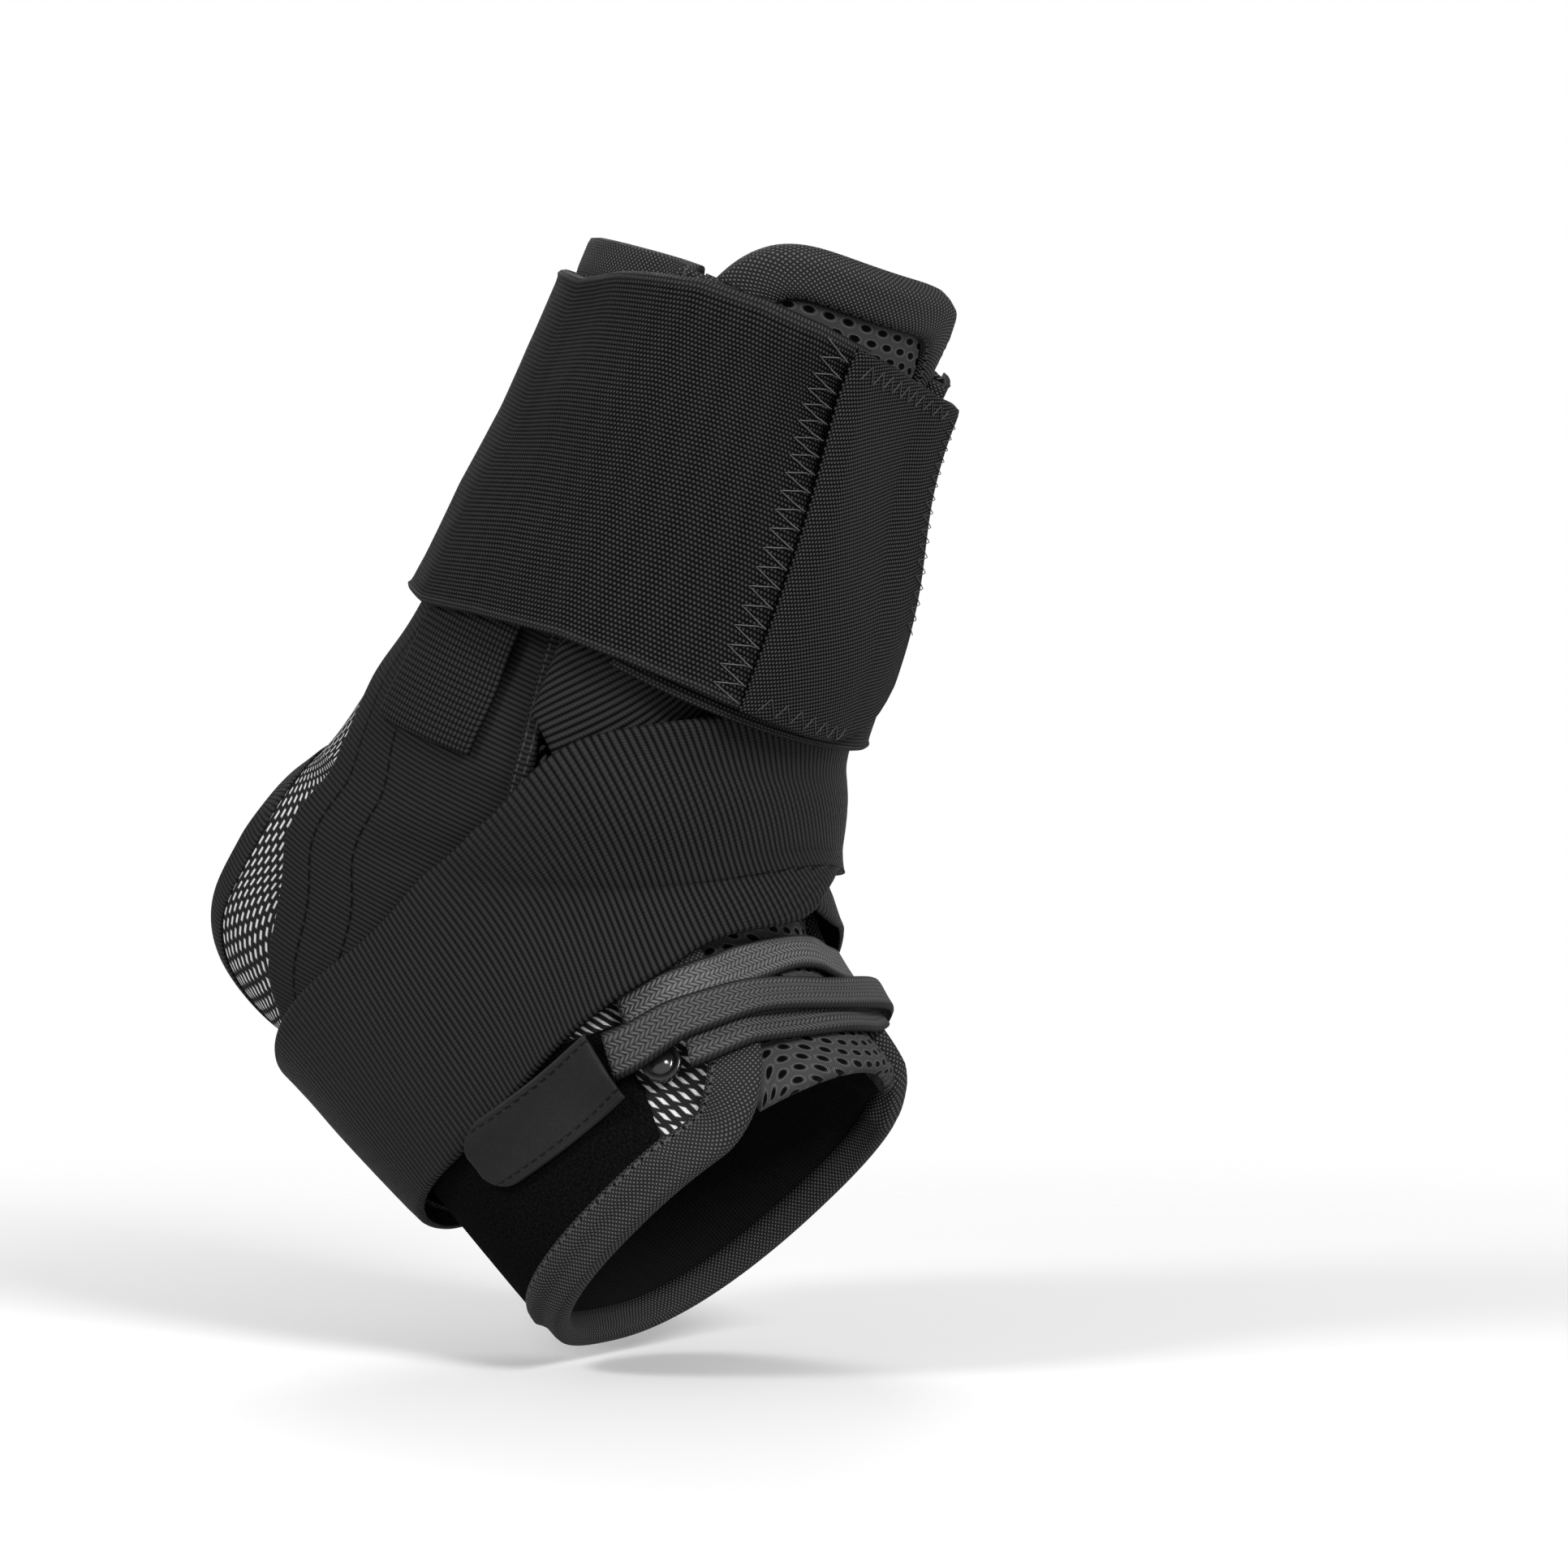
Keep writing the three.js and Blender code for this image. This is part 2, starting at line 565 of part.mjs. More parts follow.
function makeBoot() {
  const stations = evenStations(collarBack, forefootEnd, 120, 1.15 * wideFacet);
  const snapped = stations.map((s) => {
    const station = lerp(collarBack, forefootEnd, s);
    const ends = [heelHole[0][0], heelHole[heelHole.length - 1][0]];
    const near = ends.find((end) => Math.abs(end - station) < 0.16);
    return near === undefined ? s : (near - collarBack) / (forefootEnd - collarBack);
  });
  const rows = snapped.length - 1;
  const columns = bootColumns;
  const spread = (t) => 0.5 * t + 0.5 * Math.sin((t * Math.PI) / 2);
  const placeAt = (side) => (s, t) => bootPlace(side, snapped[Math.round(s * rows)], spread(t));
  const under = relief.eased(wideFacet);
  // Room for the bindings' inner flanges along every edge
  const room = new Relief();
  const edgeBand = (side) => {
    const grid = sheetGrid(rows, columns, placeAt(side), () => 0, 0);
    grid.forEach((row, i) => row.forEach((node, j) => {
      const station = lerp(collarBack, forefootEnd, snapped[i]);
      const byHole = j <= 1 && heelHoleHalf(station) > 0;
      node.outer = i <= 1 || i >= rows - 1 || j >= columns - 2 || byHole ? flangeRoom : 0;
    }));
    return grid;
  };
  [-1, 1].forEach((side) => room.raise(edgeBand(side)));
  const roomAt = room.eased(wideFacet * 0.6);
  const base = (place) => under.at(place) + layerGap + roomAt.at(place);
  const halves = [-1, 1].map((side) => sheetGrid(rows, columns, placeAt(side), base, bootWall));
  lay('boot_shell', 'knit', halves);

  const [near, far] = halves;
  const lacing = (half) => half.map((row) => row[columns]);
  const lip = (half, i) => half[i].slice().reverse();
  const front = [...lacing(near), ...lip(near, rows).slice(1), ...lip(far, rows).reverse().slice(1),
    ...lacing(far).reverse().slice(1)];
  bind('front_binding', 'binding', front.reverse(), bindings.boot, base);
  const collar = [...lip(near, 0), ...lip(far, 0).reverse().slice(1)];
  bind('collar_binding', 'binding', trimmed(collar, collarTrim), bindings.boot, base);
  const holeRows = snapped.map((s, i) => i).filter((i) => heelHoleHalf(lerp(collarBack, forefootEnd, snapped[i])) > 0);
  const [first, last] = [holeRows[0] - 1, holeRows[holeRows.length - 1] + 1];
  const hole = [near[first][0], ...holeRows.map((i) => near[i][0]), near[last][0], ...holeRows.map((i) => far[i][0]).reverse()];
  bind('heel_binding', 'ribbedTape', hole, bindings.heel, base, true);
}

// Stay pocket: rear and front edges as angles against station, on each side of the ankle
const pocketRear = [[1.5, 138], [3.6, 143], [4.3, 135], [5.25, 125], [6, 118], [6.5, 116], [7, 122], [7.6, 136]];
const pocketFront = [[1.5, 84], [2.8, 76], [3.5, 72], [4.4, 70], [5.5, 69], [6.5, 70], [7.6, 80]];
const pocketTop = 1.5;
const pocketEnd = 7.6;
const pocketBulge = 0.45;    // stations that its lower end bulges by
function makePocket(side, name) {
  const base = relief.eased(1.2 * wideFacet);
  const stations = evenStations(pocketTop, pocketEnd, 110, wideFacet);
  const rows = stations.length - 1;
  const place = (s, t) => {
    const nominal = lerp(pocketTop, pocketEnd, stations[Math.round(s * rows)]);
    const angle = lerp(follow(pocketRear, nominal), follow(pocketFront, nominal), t);
    return { station: nominal + pocketBulge * s ** 4 * Math.sin(Math.PI * t), angle: side * angle };
  };
  const grid = sheetGrid(rows, 5, place, (spot) => base.at(spot) + layerGap, panelWall);
  lay(`stay_panel_${name}`, 'ribbedCloth', [grid]);
}

function makePocketEdge(side, name) {
  const inset = 2;             // degrees from the pocket's edge to the fold's middle
  const centre = pocketFront.slice(0, -1).map(([station, angle]) => ({ station, angle: angle + inset }));
  const size = { width: pocketEdgeWidth, wall: edgeWall, facet: wideFacet };
  lay(`panel_edge_${name}`, 'ribbedCloth', [stripGrid({ centre, side, ...size })]);
}

// Anchor tape: comes down from under the cuff over the pocket
const anchorLine = [
  { station: 2.3, angle: 108 }, { station: 2.9, angle: 107 }, { station: 3.5, angle: 104.5 }, { station: 4.27, angle: 102.5 },
];
function makeAnchor(side, name) {
  const grid = stripGrid({ centre: anchorLine, width: anchorWidth, wall: strapWall, endSlant: anchorSlant, side });
  lay(`strap_anchor_${name}`, 'wovenElastic', [grid]);
}

// Loop pile fields on the boot: a patch in front of the pocket and a panel beside the sole
function makePileField(side, name, edges, rows, columns) {
  const base = relief.eased(fineFacet);
  const place = (s, t) => ({
    station: lerp(follow(edges.top, t), follow(edges.bottom, t), s),
    angle: side * lerp(follow(edges.rear, s), follow(edges.front, s), t),
  });
  lay(`${edges.name}_${name}`, 'loopPile', [sheetGrid(rows, columns, place, (spot) => base.at(spot) + layerGap, pileWall)]);
}
const loopPatch = {
  name: 'loop_patch', top: [[0, 3.3], [1, 3.3]], bottom: [[0, 4.8], [1, 4.8]],
  rear: [[0, 70.5], [1, 69]], front: [[0, 56], [1, 58]],
};
const loopPanel = {
  name: 'loop_panel', top: [[0, 8.3], [1, 8.5]], bottom: [[0, 9.8], [1, 9.8]],
  rear: [[0, 128], [1, 136]], front: [[0, 61], [0.5, 64], [1, 71]],
};

// Figure-of-eight strap: from beyond the sole's middle, up one side, over the ankle to the other
const strapLine = [
  { station: 8.0, angle: -222 }, { station: 8.25, angle: -190 }, { station: 8.3, angle: -160 }, { station: 8.15, angle: -130 },
  { station: 7.9, angle: -98 }, { station: 7.4, angle: -74 }, { station: 6.6, angle: -56 }, { station: 5.4, angle: -43 },
  { station: 4.5, angle: -28 }, { station: 3.85, angle: -8 }, { station: 3.4, angle: 12 }, { station: 3.05, angle: 33 },
  { station: 2.66, angle: 54 }, { station: 2.35, angle: 72 }, { station: 2.12, angle: 86 }, { station: 1.93, angle: 101 },
];
function makeStrap(side, name) {
  const size = { width: strapWidth, wall: strapWall, endSlant: strapTuck, facet: 1.1 * fineFacet, gap: strapGap };
  lay(`ankle_strap_${name}`, 'ribbedWebbing', [stripGrid({ centre: strapLine, side, ...size })]);
}

// Lacing tapes, from the near side to the far side
const laceLines = {
  lace_upper: [[8.5, -58], [8.44, -36], [8.26, -22], [8.1, -6], [8.15, 8], [8.35, 24], [8.5, 50]],
  lace_lower: [
    [9.18, -50], [9.22, -44], [9.27, -24], [9.33, -8], [9.35, 8], [9.3, 24], [9.15, 40], [8.95, 54], [8.88, 66],
  ],
  lace_middle: [
    [8.86, -66], [8.9, -59], [8.89, -49], [8.92, -40], [8.95, -29], [9, -17], [9.08, -1], [9.1, 15], [9.1, 52],
  ],
};
function makeLace(name) {
  const centre = laceLines[name].map(([station, angle]) => ({ station, angle }));
  lay(name, 'herringboneTape', [stripGrid({ centre, width: laceWidth, wall: laceWall, side: 1 })]);
}

// Lace stud: a low glossy dome on the boot
const studPlace = { station: 9.15, angle: 56.5 };
function makeStud(side, name) {
  const place = { station: studPlace.station, angle: side * studPlace.angle };
  const base = relief.eased(studRadius).at(place) + layerGap;
  const { out } = formFrame(place);
  const profile = [[0, 0], [0.8, 0], [1, 0.25], [0.95, 0.6], [0.6, 0.92], [0, 1]]
    .map(([across, up]) => new THREE.Vector2(across * studRadius, up * studHeight));
  const geometry = new THREE.LatheGeometry(profile, 14);
  geometry.rotateX(Math.PI / 2);
  geometry.applyQuaternion(new THREE.Quaternion().setFromUnitVectors(new THREE.Vector3(0, 0, 1), out));
  geometry.translate(...skin(place, base).toArray());
  addPiece(`eyelet_${name}`, 'gloss', geometry);
  const reach = { station: 0.16, angle: 6 };
  const corner = (a, b) => ({
    place: { station: place.station + a * reach.station, angle: place.angle + b * reach.angle }, outer: base + studHeight,
  });
  relief.raise([[corner(-1, -1), corner(-1, 1)], [corner(1, -1), corner(1, 1)]]);
}

// Pull tab: rounded at its free end, square where the lace is sewn on
const pullTabLine = [
  { station: 8.95, angle: 67 }, { station: 9.0, angle: 79 }, { station: 9.03, angle: 90 },
  { station: 9.03, angle: 101 }, { station: 9.0, angle: 113 },
];
function makePullTab(side, name) {
  const tip = (distance, length) => {
    const left = clamp((length - distance) / (pullTabWidth / 2), 0.02, 1);
    return Math.sqrt(1 - (1 - left) ** 2);
  };
  const size = { width: pullTabWidth, wall: laceWall, facet: 0.7 * fineFacet, tip };
  lay(`pull_tab_${name}`, 'smoothHide', [stripGrid({ centre: pullTabLine, side, ...size })]);
}

// Cuff: route of its top edge as shares of the cuff's height against the turn round the leg
const cuffRoute = [
  [-62, 1.03], [0, 0.99], [45, 0.955], [90, 0.93], [180, 0.915], [238, 0.95], [259, 0.995], [285, 1.04],
  [301, 1.05], [317, 1.047], [337, 1.03], [360, 1.0], [378, 0.975],
];
const cuffStart = -62;
const cuffSeam = 334;        // where the band ends under the tab
const cuffStep = 10;         // degrees between the cuff's facets
const lapLength = 150;       // degrees of the first turn that the second turn covers
const lapStart = 170;        // turn from which the band lies on its own first turn
const tabStart = 326;
const tabEnd = 376;
const cuffPlace = (turn, drop) => ({ station: stationOf(follow(cuffRoute, turn) * cuffTop - drop), angle: turn });

function makeCuff() {
  const under = relief.eased(cuffReach);
  const columns = Math.ceil((cuffSeam - cuffStart) / cuffStep);
  const firstLap = (grid) => grid.slice(0, Math.ceil(lapLength / cuffStep));
  const place = (s, t) => cuffPlace(lerp(cuffStart, cuffSeam, s), t * cuffWidth);
  const flat = sheetGrid(columns, cuffBands, place, (spot) => under.at(spot) + layerGap, cuffWall);
  const over = relief.copy().raise(firstLap(flat)).eased(cuffReach);
  const base = (spot, s) => (lerp(cuffStart, cuffSeam, s) < lapStart ? under : over).at(spot) + layerGap;
  lay('cuff', 'elasticWeave', [sheetGrid(columns, cuffBands, place, base, cuffWall)]);
}

function makeCuffTab() {
  const base = relief.eased(cuffReach);
  const columns = 10;
  const length = radians(tabEnd - tabStart) * legDepth * 0.5;
  const place = (s, t) => {
    const left = (1 - s) ** 1.5;     // rows lie closer together at the rounded end
    const corner = Math.max(0, tabCorner - left * length);
    const drop = cuffWidth - tabCorner + Math.sqrt(tabCorner ** 2 - corner ** 2);
    return cuffPlace(tabEnd - (tabEnd - tabStart) * left, t * drop);
  };
  lay('cuff_tab', 'knitTab', [sheetGrid(columns, cuffBands, place, (spot) => base.at(spot) + layerGap, tabWall)]);
}

const sides = [[1, 'far'], [-1, 'near']];
makeTongue();
makeBoot();
sides.forEach(([side, name]) => makePocket(side, name));
sides.forEach(([side, name]) => makePocketEdge(side, name));
sides.forEach(([side, name]) => makeAnchor(side, name));
sides.forEach(([side, name]) => makePileField(side, name, loopPatch, 7, 2));
sides.forEach(([side, name]) => makePileField(side, name, loopPanel, 5, 10));
makeLace('lace_upper');
sides.forEach(([side, name]) => makeStrap(-side, name));
sides.forEach(([side, name]) => makeStud(side, name));
makeLace('lace_lower');
makeLace('lace_middle');
sides.forEach(([side, name]) => makePullTab(side, name));
makeCuff();
makeCuffTab();

const materials = {
  airMesh: { color: 0x3a3a3b, roughness: 0.9, metalness: 0 },
  binding: { color: 0x3d3d3e, roughness: 0.75, metalness: 0 },
  knit: { color: 0x1c1c1d, roughness: 0.95, metalness: 0 },
  ribbedTape: { color: 0x1e1e1f, roughness: 0.85, metalness: 0 },
  ribbedCloth: { color: 0x262627, roughness: 0.85, metalness: 0 },
  wovenElastic: { color: 0x2b2b2c, roughness: 0.85, metalness: 0 },
  loopPile: { color: 0x121213, roughness: 1, metalness: 0 },
  ribbedWebbing: { color: 0x242425, roughness: 0.7, metalness: 0 },
  herringboneTape: { color: 0x3f3f40, roughness: 0.75, metalness: 0 },
  gloss: { color: 0x0a0a0a, roughness: 0.15, metalness: 0 },
  smoothHide: { color: 0x1d1d1e, roughness: 0.5, metalness: 0 },
  elasticWeave: { color: 0x242425, roughness: 0.8, metalness: 0 },
  knitTab: { color: 0x2a2a2b, roughness: 0.8, metalness: 0 },
};

const brace = new THREE.Group();
brace.rotation.y = radians(heelLift);
pieces.forEach(({ name, material, geometry }) => {
  const mesh = new THREE.Mesh(geometry, new THREE.MeshStandardMaterial(materials[material]));
  mesh.name = name;
  brace.add(mesh);
});
const root = new THREE.Group();
root.add(brace);

export default root;
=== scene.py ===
import math

import bmesh
import bpy
import numpy as np
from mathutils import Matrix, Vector


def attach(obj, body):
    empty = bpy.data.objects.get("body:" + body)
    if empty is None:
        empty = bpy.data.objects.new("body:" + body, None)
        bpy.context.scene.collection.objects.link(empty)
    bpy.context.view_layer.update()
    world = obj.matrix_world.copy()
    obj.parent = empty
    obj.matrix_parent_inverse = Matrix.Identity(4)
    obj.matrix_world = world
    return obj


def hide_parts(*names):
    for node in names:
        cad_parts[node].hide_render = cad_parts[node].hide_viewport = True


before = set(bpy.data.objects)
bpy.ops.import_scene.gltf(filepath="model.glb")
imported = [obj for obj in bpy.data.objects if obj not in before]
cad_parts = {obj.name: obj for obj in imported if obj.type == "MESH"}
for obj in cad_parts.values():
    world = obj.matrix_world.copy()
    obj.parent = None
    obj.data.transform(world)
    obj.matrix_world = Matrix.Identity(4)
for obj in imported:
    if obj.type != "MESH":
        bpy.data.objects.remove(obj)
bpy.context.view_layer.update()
bpy.ops.object.select_all(action="DESELECT")

# The studio: a camera level with the brace, turned a little towards its forefoot, a pale floor that
# fades into a pale room, dimmer overhead, and soft square lamps to the left, the right and behind.
camera_turn = math.radians(30)
camera_distance, camera_lens, camera_sensor = 1.0, 104.35, 36
aim_right, aim_height = 0.049286, 0.016786
camera_right = Vector((math.cos(camera_turn), math.sin(camera_turn), 0))
camera_back = Vector((math.sin(camera_turn), -math.cos(camera_turn), 0))
camera_target = camera_right * aim_right + Vector((0, 0, aim_height))
bpy.ops.object.camera_add(location=camera_target + camera_back * camera_distance,
                          rotation=(math.radians(90), 0, camera_turn))
camera = bpy.context.object
camera.data.lens = camera_lens
camera.data.sensor_width = camera_sensor
bpy.context.scene.camera = camera


class Worked:
    """One socket of a material, so that fades, ribs, weaves and stitches are plain expressions."""

    def __init__(self, tree, socket):
        self.tree, self.socket = tree, socket

    def node(self, kind, settings=None, values=None, output=0):
        """Adds any node: its settings first, then the values or links of its inputs."""
        made_node = self.tree.nodes.new(kind)
        for key, value in (settings or {}).items():
            setattr(made_node, key, value)
        for key, value in (values or {}).items():
            if isinstance(value, Worked):
                self.tree.links.new(value.socket, made_node.inputs[key])
            elif value is not None:
                made_node.inputs[key].default_value = value
        return Worked(self.tree, made_node.outputs[output])

    def into(self, shader, name):
        """Links this value to a socket of the shader."""
        self.tree.links.new(self.socket, shader.inputs[name])

    def maths(self, operation, other=None, third=None):
        return self.node("ShaderNodeMath", {"operation": operation}, {0: self, 1: other, 2: third})

    def __add__(self, other):
        return self.maths("ADD", other)

    __radd__ = __add__

    def __sub__(self, other):
        return self.maths("SUBTRACT", other)

    def __rsub__(self, other):
        return (self * -1).maths("ADD", other)

    def __mul__(self, other):
        return self.maths("MULTIPLY", other)

    __rmul__ = __mul__

    def __truediv__(self, other):
        return self.maths("DIVIDE", other)

    def wave(self, pitch, shift=0.0):
        """0 to 1 and back once in each pitch."""
        return (self * (2 * math.pi / pitch) + shift).maths("SINE") * 0.5 + 0.5

    def rounds(self, pitch):
        """Rows of round cords: 0 in the groove, 1 on the crown."""
        return (self * (math.pi / pitch)).maths("SINE").maths("ABSOLUTE").maths("POWER", 0.6)

    def part(self, pitch):
        """Where in its pitch a place lies, 0 to 1."""
        return (self / pitch).maths("FRACT")

    def step(self, edge, soft=0.05):
        """0 below an edge, 1 above it, softly."""
        return ((self - (edge - soft)) / (2 * soft)).maths("MAXIMUM", 0).maths("MINIMUM", 1)

    def band(self, low, high, soft=0.05):
        return self.step(low, soft) * (1 - self.step(high, soft))


floor_height, floor_radius, floor_fade = -0.109, 1.5, (0.08, 0.6)
bpy.ops.mesh.primitive_circle_add(vertices=96, radius=floor_radius, fill_type="NGON",
                                  location=(0, 0, floor_height))
floor = bpy.context.object
floor.name = "floor"
floor_paint = bpy.data.materials.new("floor_paint")
floor_paint.use_nodes = True
floor_shader = floor_paint.node_tree.nodes["Principled BSDF"]
floor_shader.inputs["Base Color"].default_value = (0.6, 0.6, 0.6, 1)
floor_shader.inputs["Roughness"].default_value = 0.7
floor_place = Worked(floor_paint.node_tree, None).node("ShaderNodeTexCoord", output="Object")
floor_length = floor_place.node("ShaderNodeVectorMath", {"operation": "LENGTH"}, {0: floor_place}, "Value")
floor_place.node("ShaderNodeMapRange", {"interpolation_type": "SMOOTHSTEP"}, {
    "Value": floor_length, "From Min": floor_fade[0], "From Max": floor_fade[1], "To Min": 1.0, "To Max": 0.0,
}).into(floor_shader, "Alpha")
floor.data.materials.append(floor_paint)

room = bpy.data.worlds.new("pale_room")
room.use_nodes = True
room_place = Worked(room.node_tree, None).node("ShaderNodeTexCoord", output="Generated")
room_height = room_place.node("ShaderNodeSeparateXYZ", None, {0: room_place}, "Z")
room_place.node("ShaderNodeMapRange", None, {
    "Value": room_height, "From Min": 0.22, "From Max": 0.5, "To Min": 1.0, "To Max": 0.4,
}).into(room.node_tree.nodes["Background"], "Color")
room.node_tree.nodes["Background"].inputs["Strength"].default_value = 1.0
bpy.context.scene.world = room
bpy.context.scene.view_settings.view_transform = "Standard"


def soft_lamp(name, place, size, power):
    """A square lamp that faces the brace."""
    place = Vector(place)
    aim = (Vector((0, 0, 0.01)) - place).to_track_quat("-Z", "Y").to_euler()
    bpy.ops.object.light_add(type="AREA", location=place, rotation=aim)
    lamp = bpy.context.object
    lamp.name = name
    lamp.data.size = size
    lamp.data.energy = power


soft_lamp("key_lamp", (-0.45, -1.05, 0.75), 0.35, 14)
soft_lamp("toe_lamp", (1.1, -0.6, 0.65), 0.4, 26)
soft_lamp("back_lamp", (-0.7, 0.9, 0.9), 0.6, 8)


# The tongue: a thick padded sheet of air mesh, its face pierced by rows of hexagonal holes, their
# dips painted near black as the shade inside them. It lies behind the lacing, its top bound in a padded roll,
# its lower end cut.
tongue_overlap, tongue_top, tongue_end, tongue_wall = 7, 0.5, 10.1, 3.6
skin_gap = 0.9

# The last that all the cloth is shaped over, in millimetres with its sole level: cross sections down
# the shaft, round the heel and out to the forefoot. A piece lies at stations and angles on it.
heel_lift = math.radians(41)
shaft_lean = math.radians(16.2)
shaft_height, ankle_rise, shaft_depth, shaft_width = 165, 45, 78, 70
fore_reach, heel_reach, sole_drop, instep_rise, fore_width = 96, 65, 68.5, 46.5, 79
shaft_rows = [
    # front, back, side
    (0.460, 0.495, 0.460),
    (0.370, 0.500, 0.465),
    (0.425, 0.530, 0.480),
    (0.450, 0.580, 0.515),
]
fore_rows = [
    # front along, front up, behind, ahead, back up, side, blunt
    (0.318, 0.875, 0.850, 0.000, 0.070, 0.494, 2.0),
    (0.373, 0.725, 0.865, 0.000, -0.282, 0.481, 2.0),
    (0.437, 0.625, 0.965, 0.000, -0.704, 0.456, 2.5),
    (0.495, 0.570, 0.700, 0.000, -0.986, 0.449, 2.8),
    (0.563, 0.455, 0.030, 0.000, -1.000, 0.462, 2.6),
    (0.705, 0.358, 0.000, 0.396, -0.986, 0.475, 2.5),
    (0.872, 0.318, 0.000, 0.729, -0.986, 0.487, 2.5),
    (1.028, 0.240, 0.000, 1.000, -0.986, 0.500, 2.5),
]
shaft_step = (shaft_height - ankle_rise) / (len(shaft_rows) - 1)


def shaft_section(index, front, back, side):
    """Front point, back point, half width and bluntness of a section across the shaft."""
    height = shaft_height - index * shaft_step
    axis = np.array([-height * math.sin(shaft_lean), height * math.cos(shaft_lean)])
    across = shaft_depth * np.array([math.cos(shaft_lean), math.sin(shaft_lean)])
    return [*(axis + front * across), *(axis - back * across), side * shaft_width, 2]


def fore_section(front_along, front_up, behind, ahead, back_up, side, blunt):
    return [front_along * fore_reach, front_up * instep_rise, ahead * fore_reach - behind * heel_reach,
            back_up * sole_drop, side * fore_width, blunt]


sections = np.array([shaft_section(index, *row) for index, row in enumerate(shaft_rows)]
                    + [fore_section(*row) for row in fore_rows])


def curve_through(rows, position):
    """Smooth curve through equally spaced rows of numbers."""
    rows = np.asarray(rows, float)
    position = np.clip(position, 0, len(rows) - 1)
    first = np.minimum(np.floor(position).astype(int), len(rows) - 2)
    t = (position - first)[..., None]
    a, b, c, d = (rows[np.clip(first + k, 0, len(rows) - 1)] for k in (-1, 0, 1, 2))
    return 0.5 * (2 * b + (c - a) * t + (2 * a - 5 * b + 4 * c - d) * t**2 + (3 * b - a - 3 * c + d) * t**3)


def last(station, angle):
    """Point of the last; the angle goes round from the front, and the near side is below 0."""
    front_x, front_z, back_x, back_z, half, blunt = np.moveaxis(curve_through(sections, station), -1, 0)
    c, s = np.cos(np.radians(angle)), np.sin(np.radians(angle))
    squareness = 2 + (blunt - 2) * (1 - c) / 2
    size = (np.abs(c) ** squareness + np.abs(s) ** squareness) ** (-1 / squareness)
    depth = size * c
    return np.stack([(front_x + back_x) / 2 + depth * (front_x - back_x) / 2, half * size * s,
                     (front_z + back_z) / 2 + depth * (front_z - back_z) / 2], -1)


def unit(vectors):
    return vectors / np.maximum(np.linalg.norm(vectors, axis=-1, keepdims=True), 1e-9)


def surface(station, angle):
    """Point, the step per station, the step per degree and the outward normal."""
    ds, da = 0.002, 0.1
    down = (last(station + ds, angle) - last(station - ds, angle)) / (2 * ds)
    around = (last(station, angle + da) - last(station, angle - da)) / (2 * da)
    return last(station, angle), down, around, unit(np.cross(down, around))


def skin(station, angle, lift):
    point, _, _, out = surface(station, angle)
    return point + out * np.asarray(lift)[..., None]


def follow(table, position):
    """A value that follows a table of positions and values, straight between its rows."""
    at, value = zip(*table)
    return np.interp(position, at, value)


# How high the layers laid so far stand off the last, cell by cell
station_cell, angle_cell = 0.05, 2
map_rows, map_columns = round((len(sections) - 1) / station_cell) + 1, 360 // angle_cell
heights = np.zeros((map_rows, map_columns))


def finer(values, times):
    for axis in (0, 1):
        spots = np.linspace(0, values.shape[axis] - 1, (values.shape[axis] - 1) * times + 1)
        low = np.minimum(spots.astype(int), values.shape[axis] - 2)
        share = (spots - low).reshape((-1, 1) if axis == 0 else (1, -1))
        values = np.take(values, low, axis) * (1 - share) + np.take(values, low + 1, axis) * share
    return values


def pile_up(layer_map, station, angle, lift):
    """Raises a map to the outer face of a sheet."""
    s, a, h = (finer(np.broadcast_to(x, station.shape).astype(float), 4) for x in (station, angle, lift))
    rows = np.clip(np.rint(s / station_cell).astype(int), 0, map_rows - 1)
    columns = np.rint(a / angle_cell).astype(int) % map_columns
    np.maximum.at(layer_map, (rows, columns), h)


def to_metres(points):
    """Turns the level last to its lifted pose, and millimetres to metres."""
    x, y, z = np.moveaxis(points, -1, 0)
    c, s = math.cos(heel_lift), math.sin(heel_lift)
    return np.stack([x * c + z * s, y, z * c - x * s], -1) / 1000


# Cloth: every sheet is a grid with an outer and an inner face, its rim closed. Its own UV map counts
# millimetres along and across, so weaves, ribs and stitches are worked at their true size.
def knots(length, step, rim=1.2):
    """Shares of a length, evenly spaced, with extra lines near both ends for a rounded rim."""
    near = np.array([0, 0.25, 0.6, 1]) * rim / length
    middle = np.linspace(rim, length - rim, max(2, round(length / step)) + 1) / length
    return np.concatenate([near[:-1], middle, 1 - near[:-1][::-1]])


def rounded(distance, rim=1.2):
    """Share of the full thickness at a distance from the rim."""
    near = 1 - np.clip(distance / rim, 0, 1)
    return 0.35 + 0.65 * np.sqrt(1 - near**2)


def travelled(points, axis=0):
    """Distances covered along a line of points, or along one axis of a grid."""
    steps = np.linalg.norm(np.diff(points, axis=axis), axis=-1)
    return np.concatenate([np.zeros_like(np.take(steps, [0], axis)), np.cumsum(steps, axis)], axis)


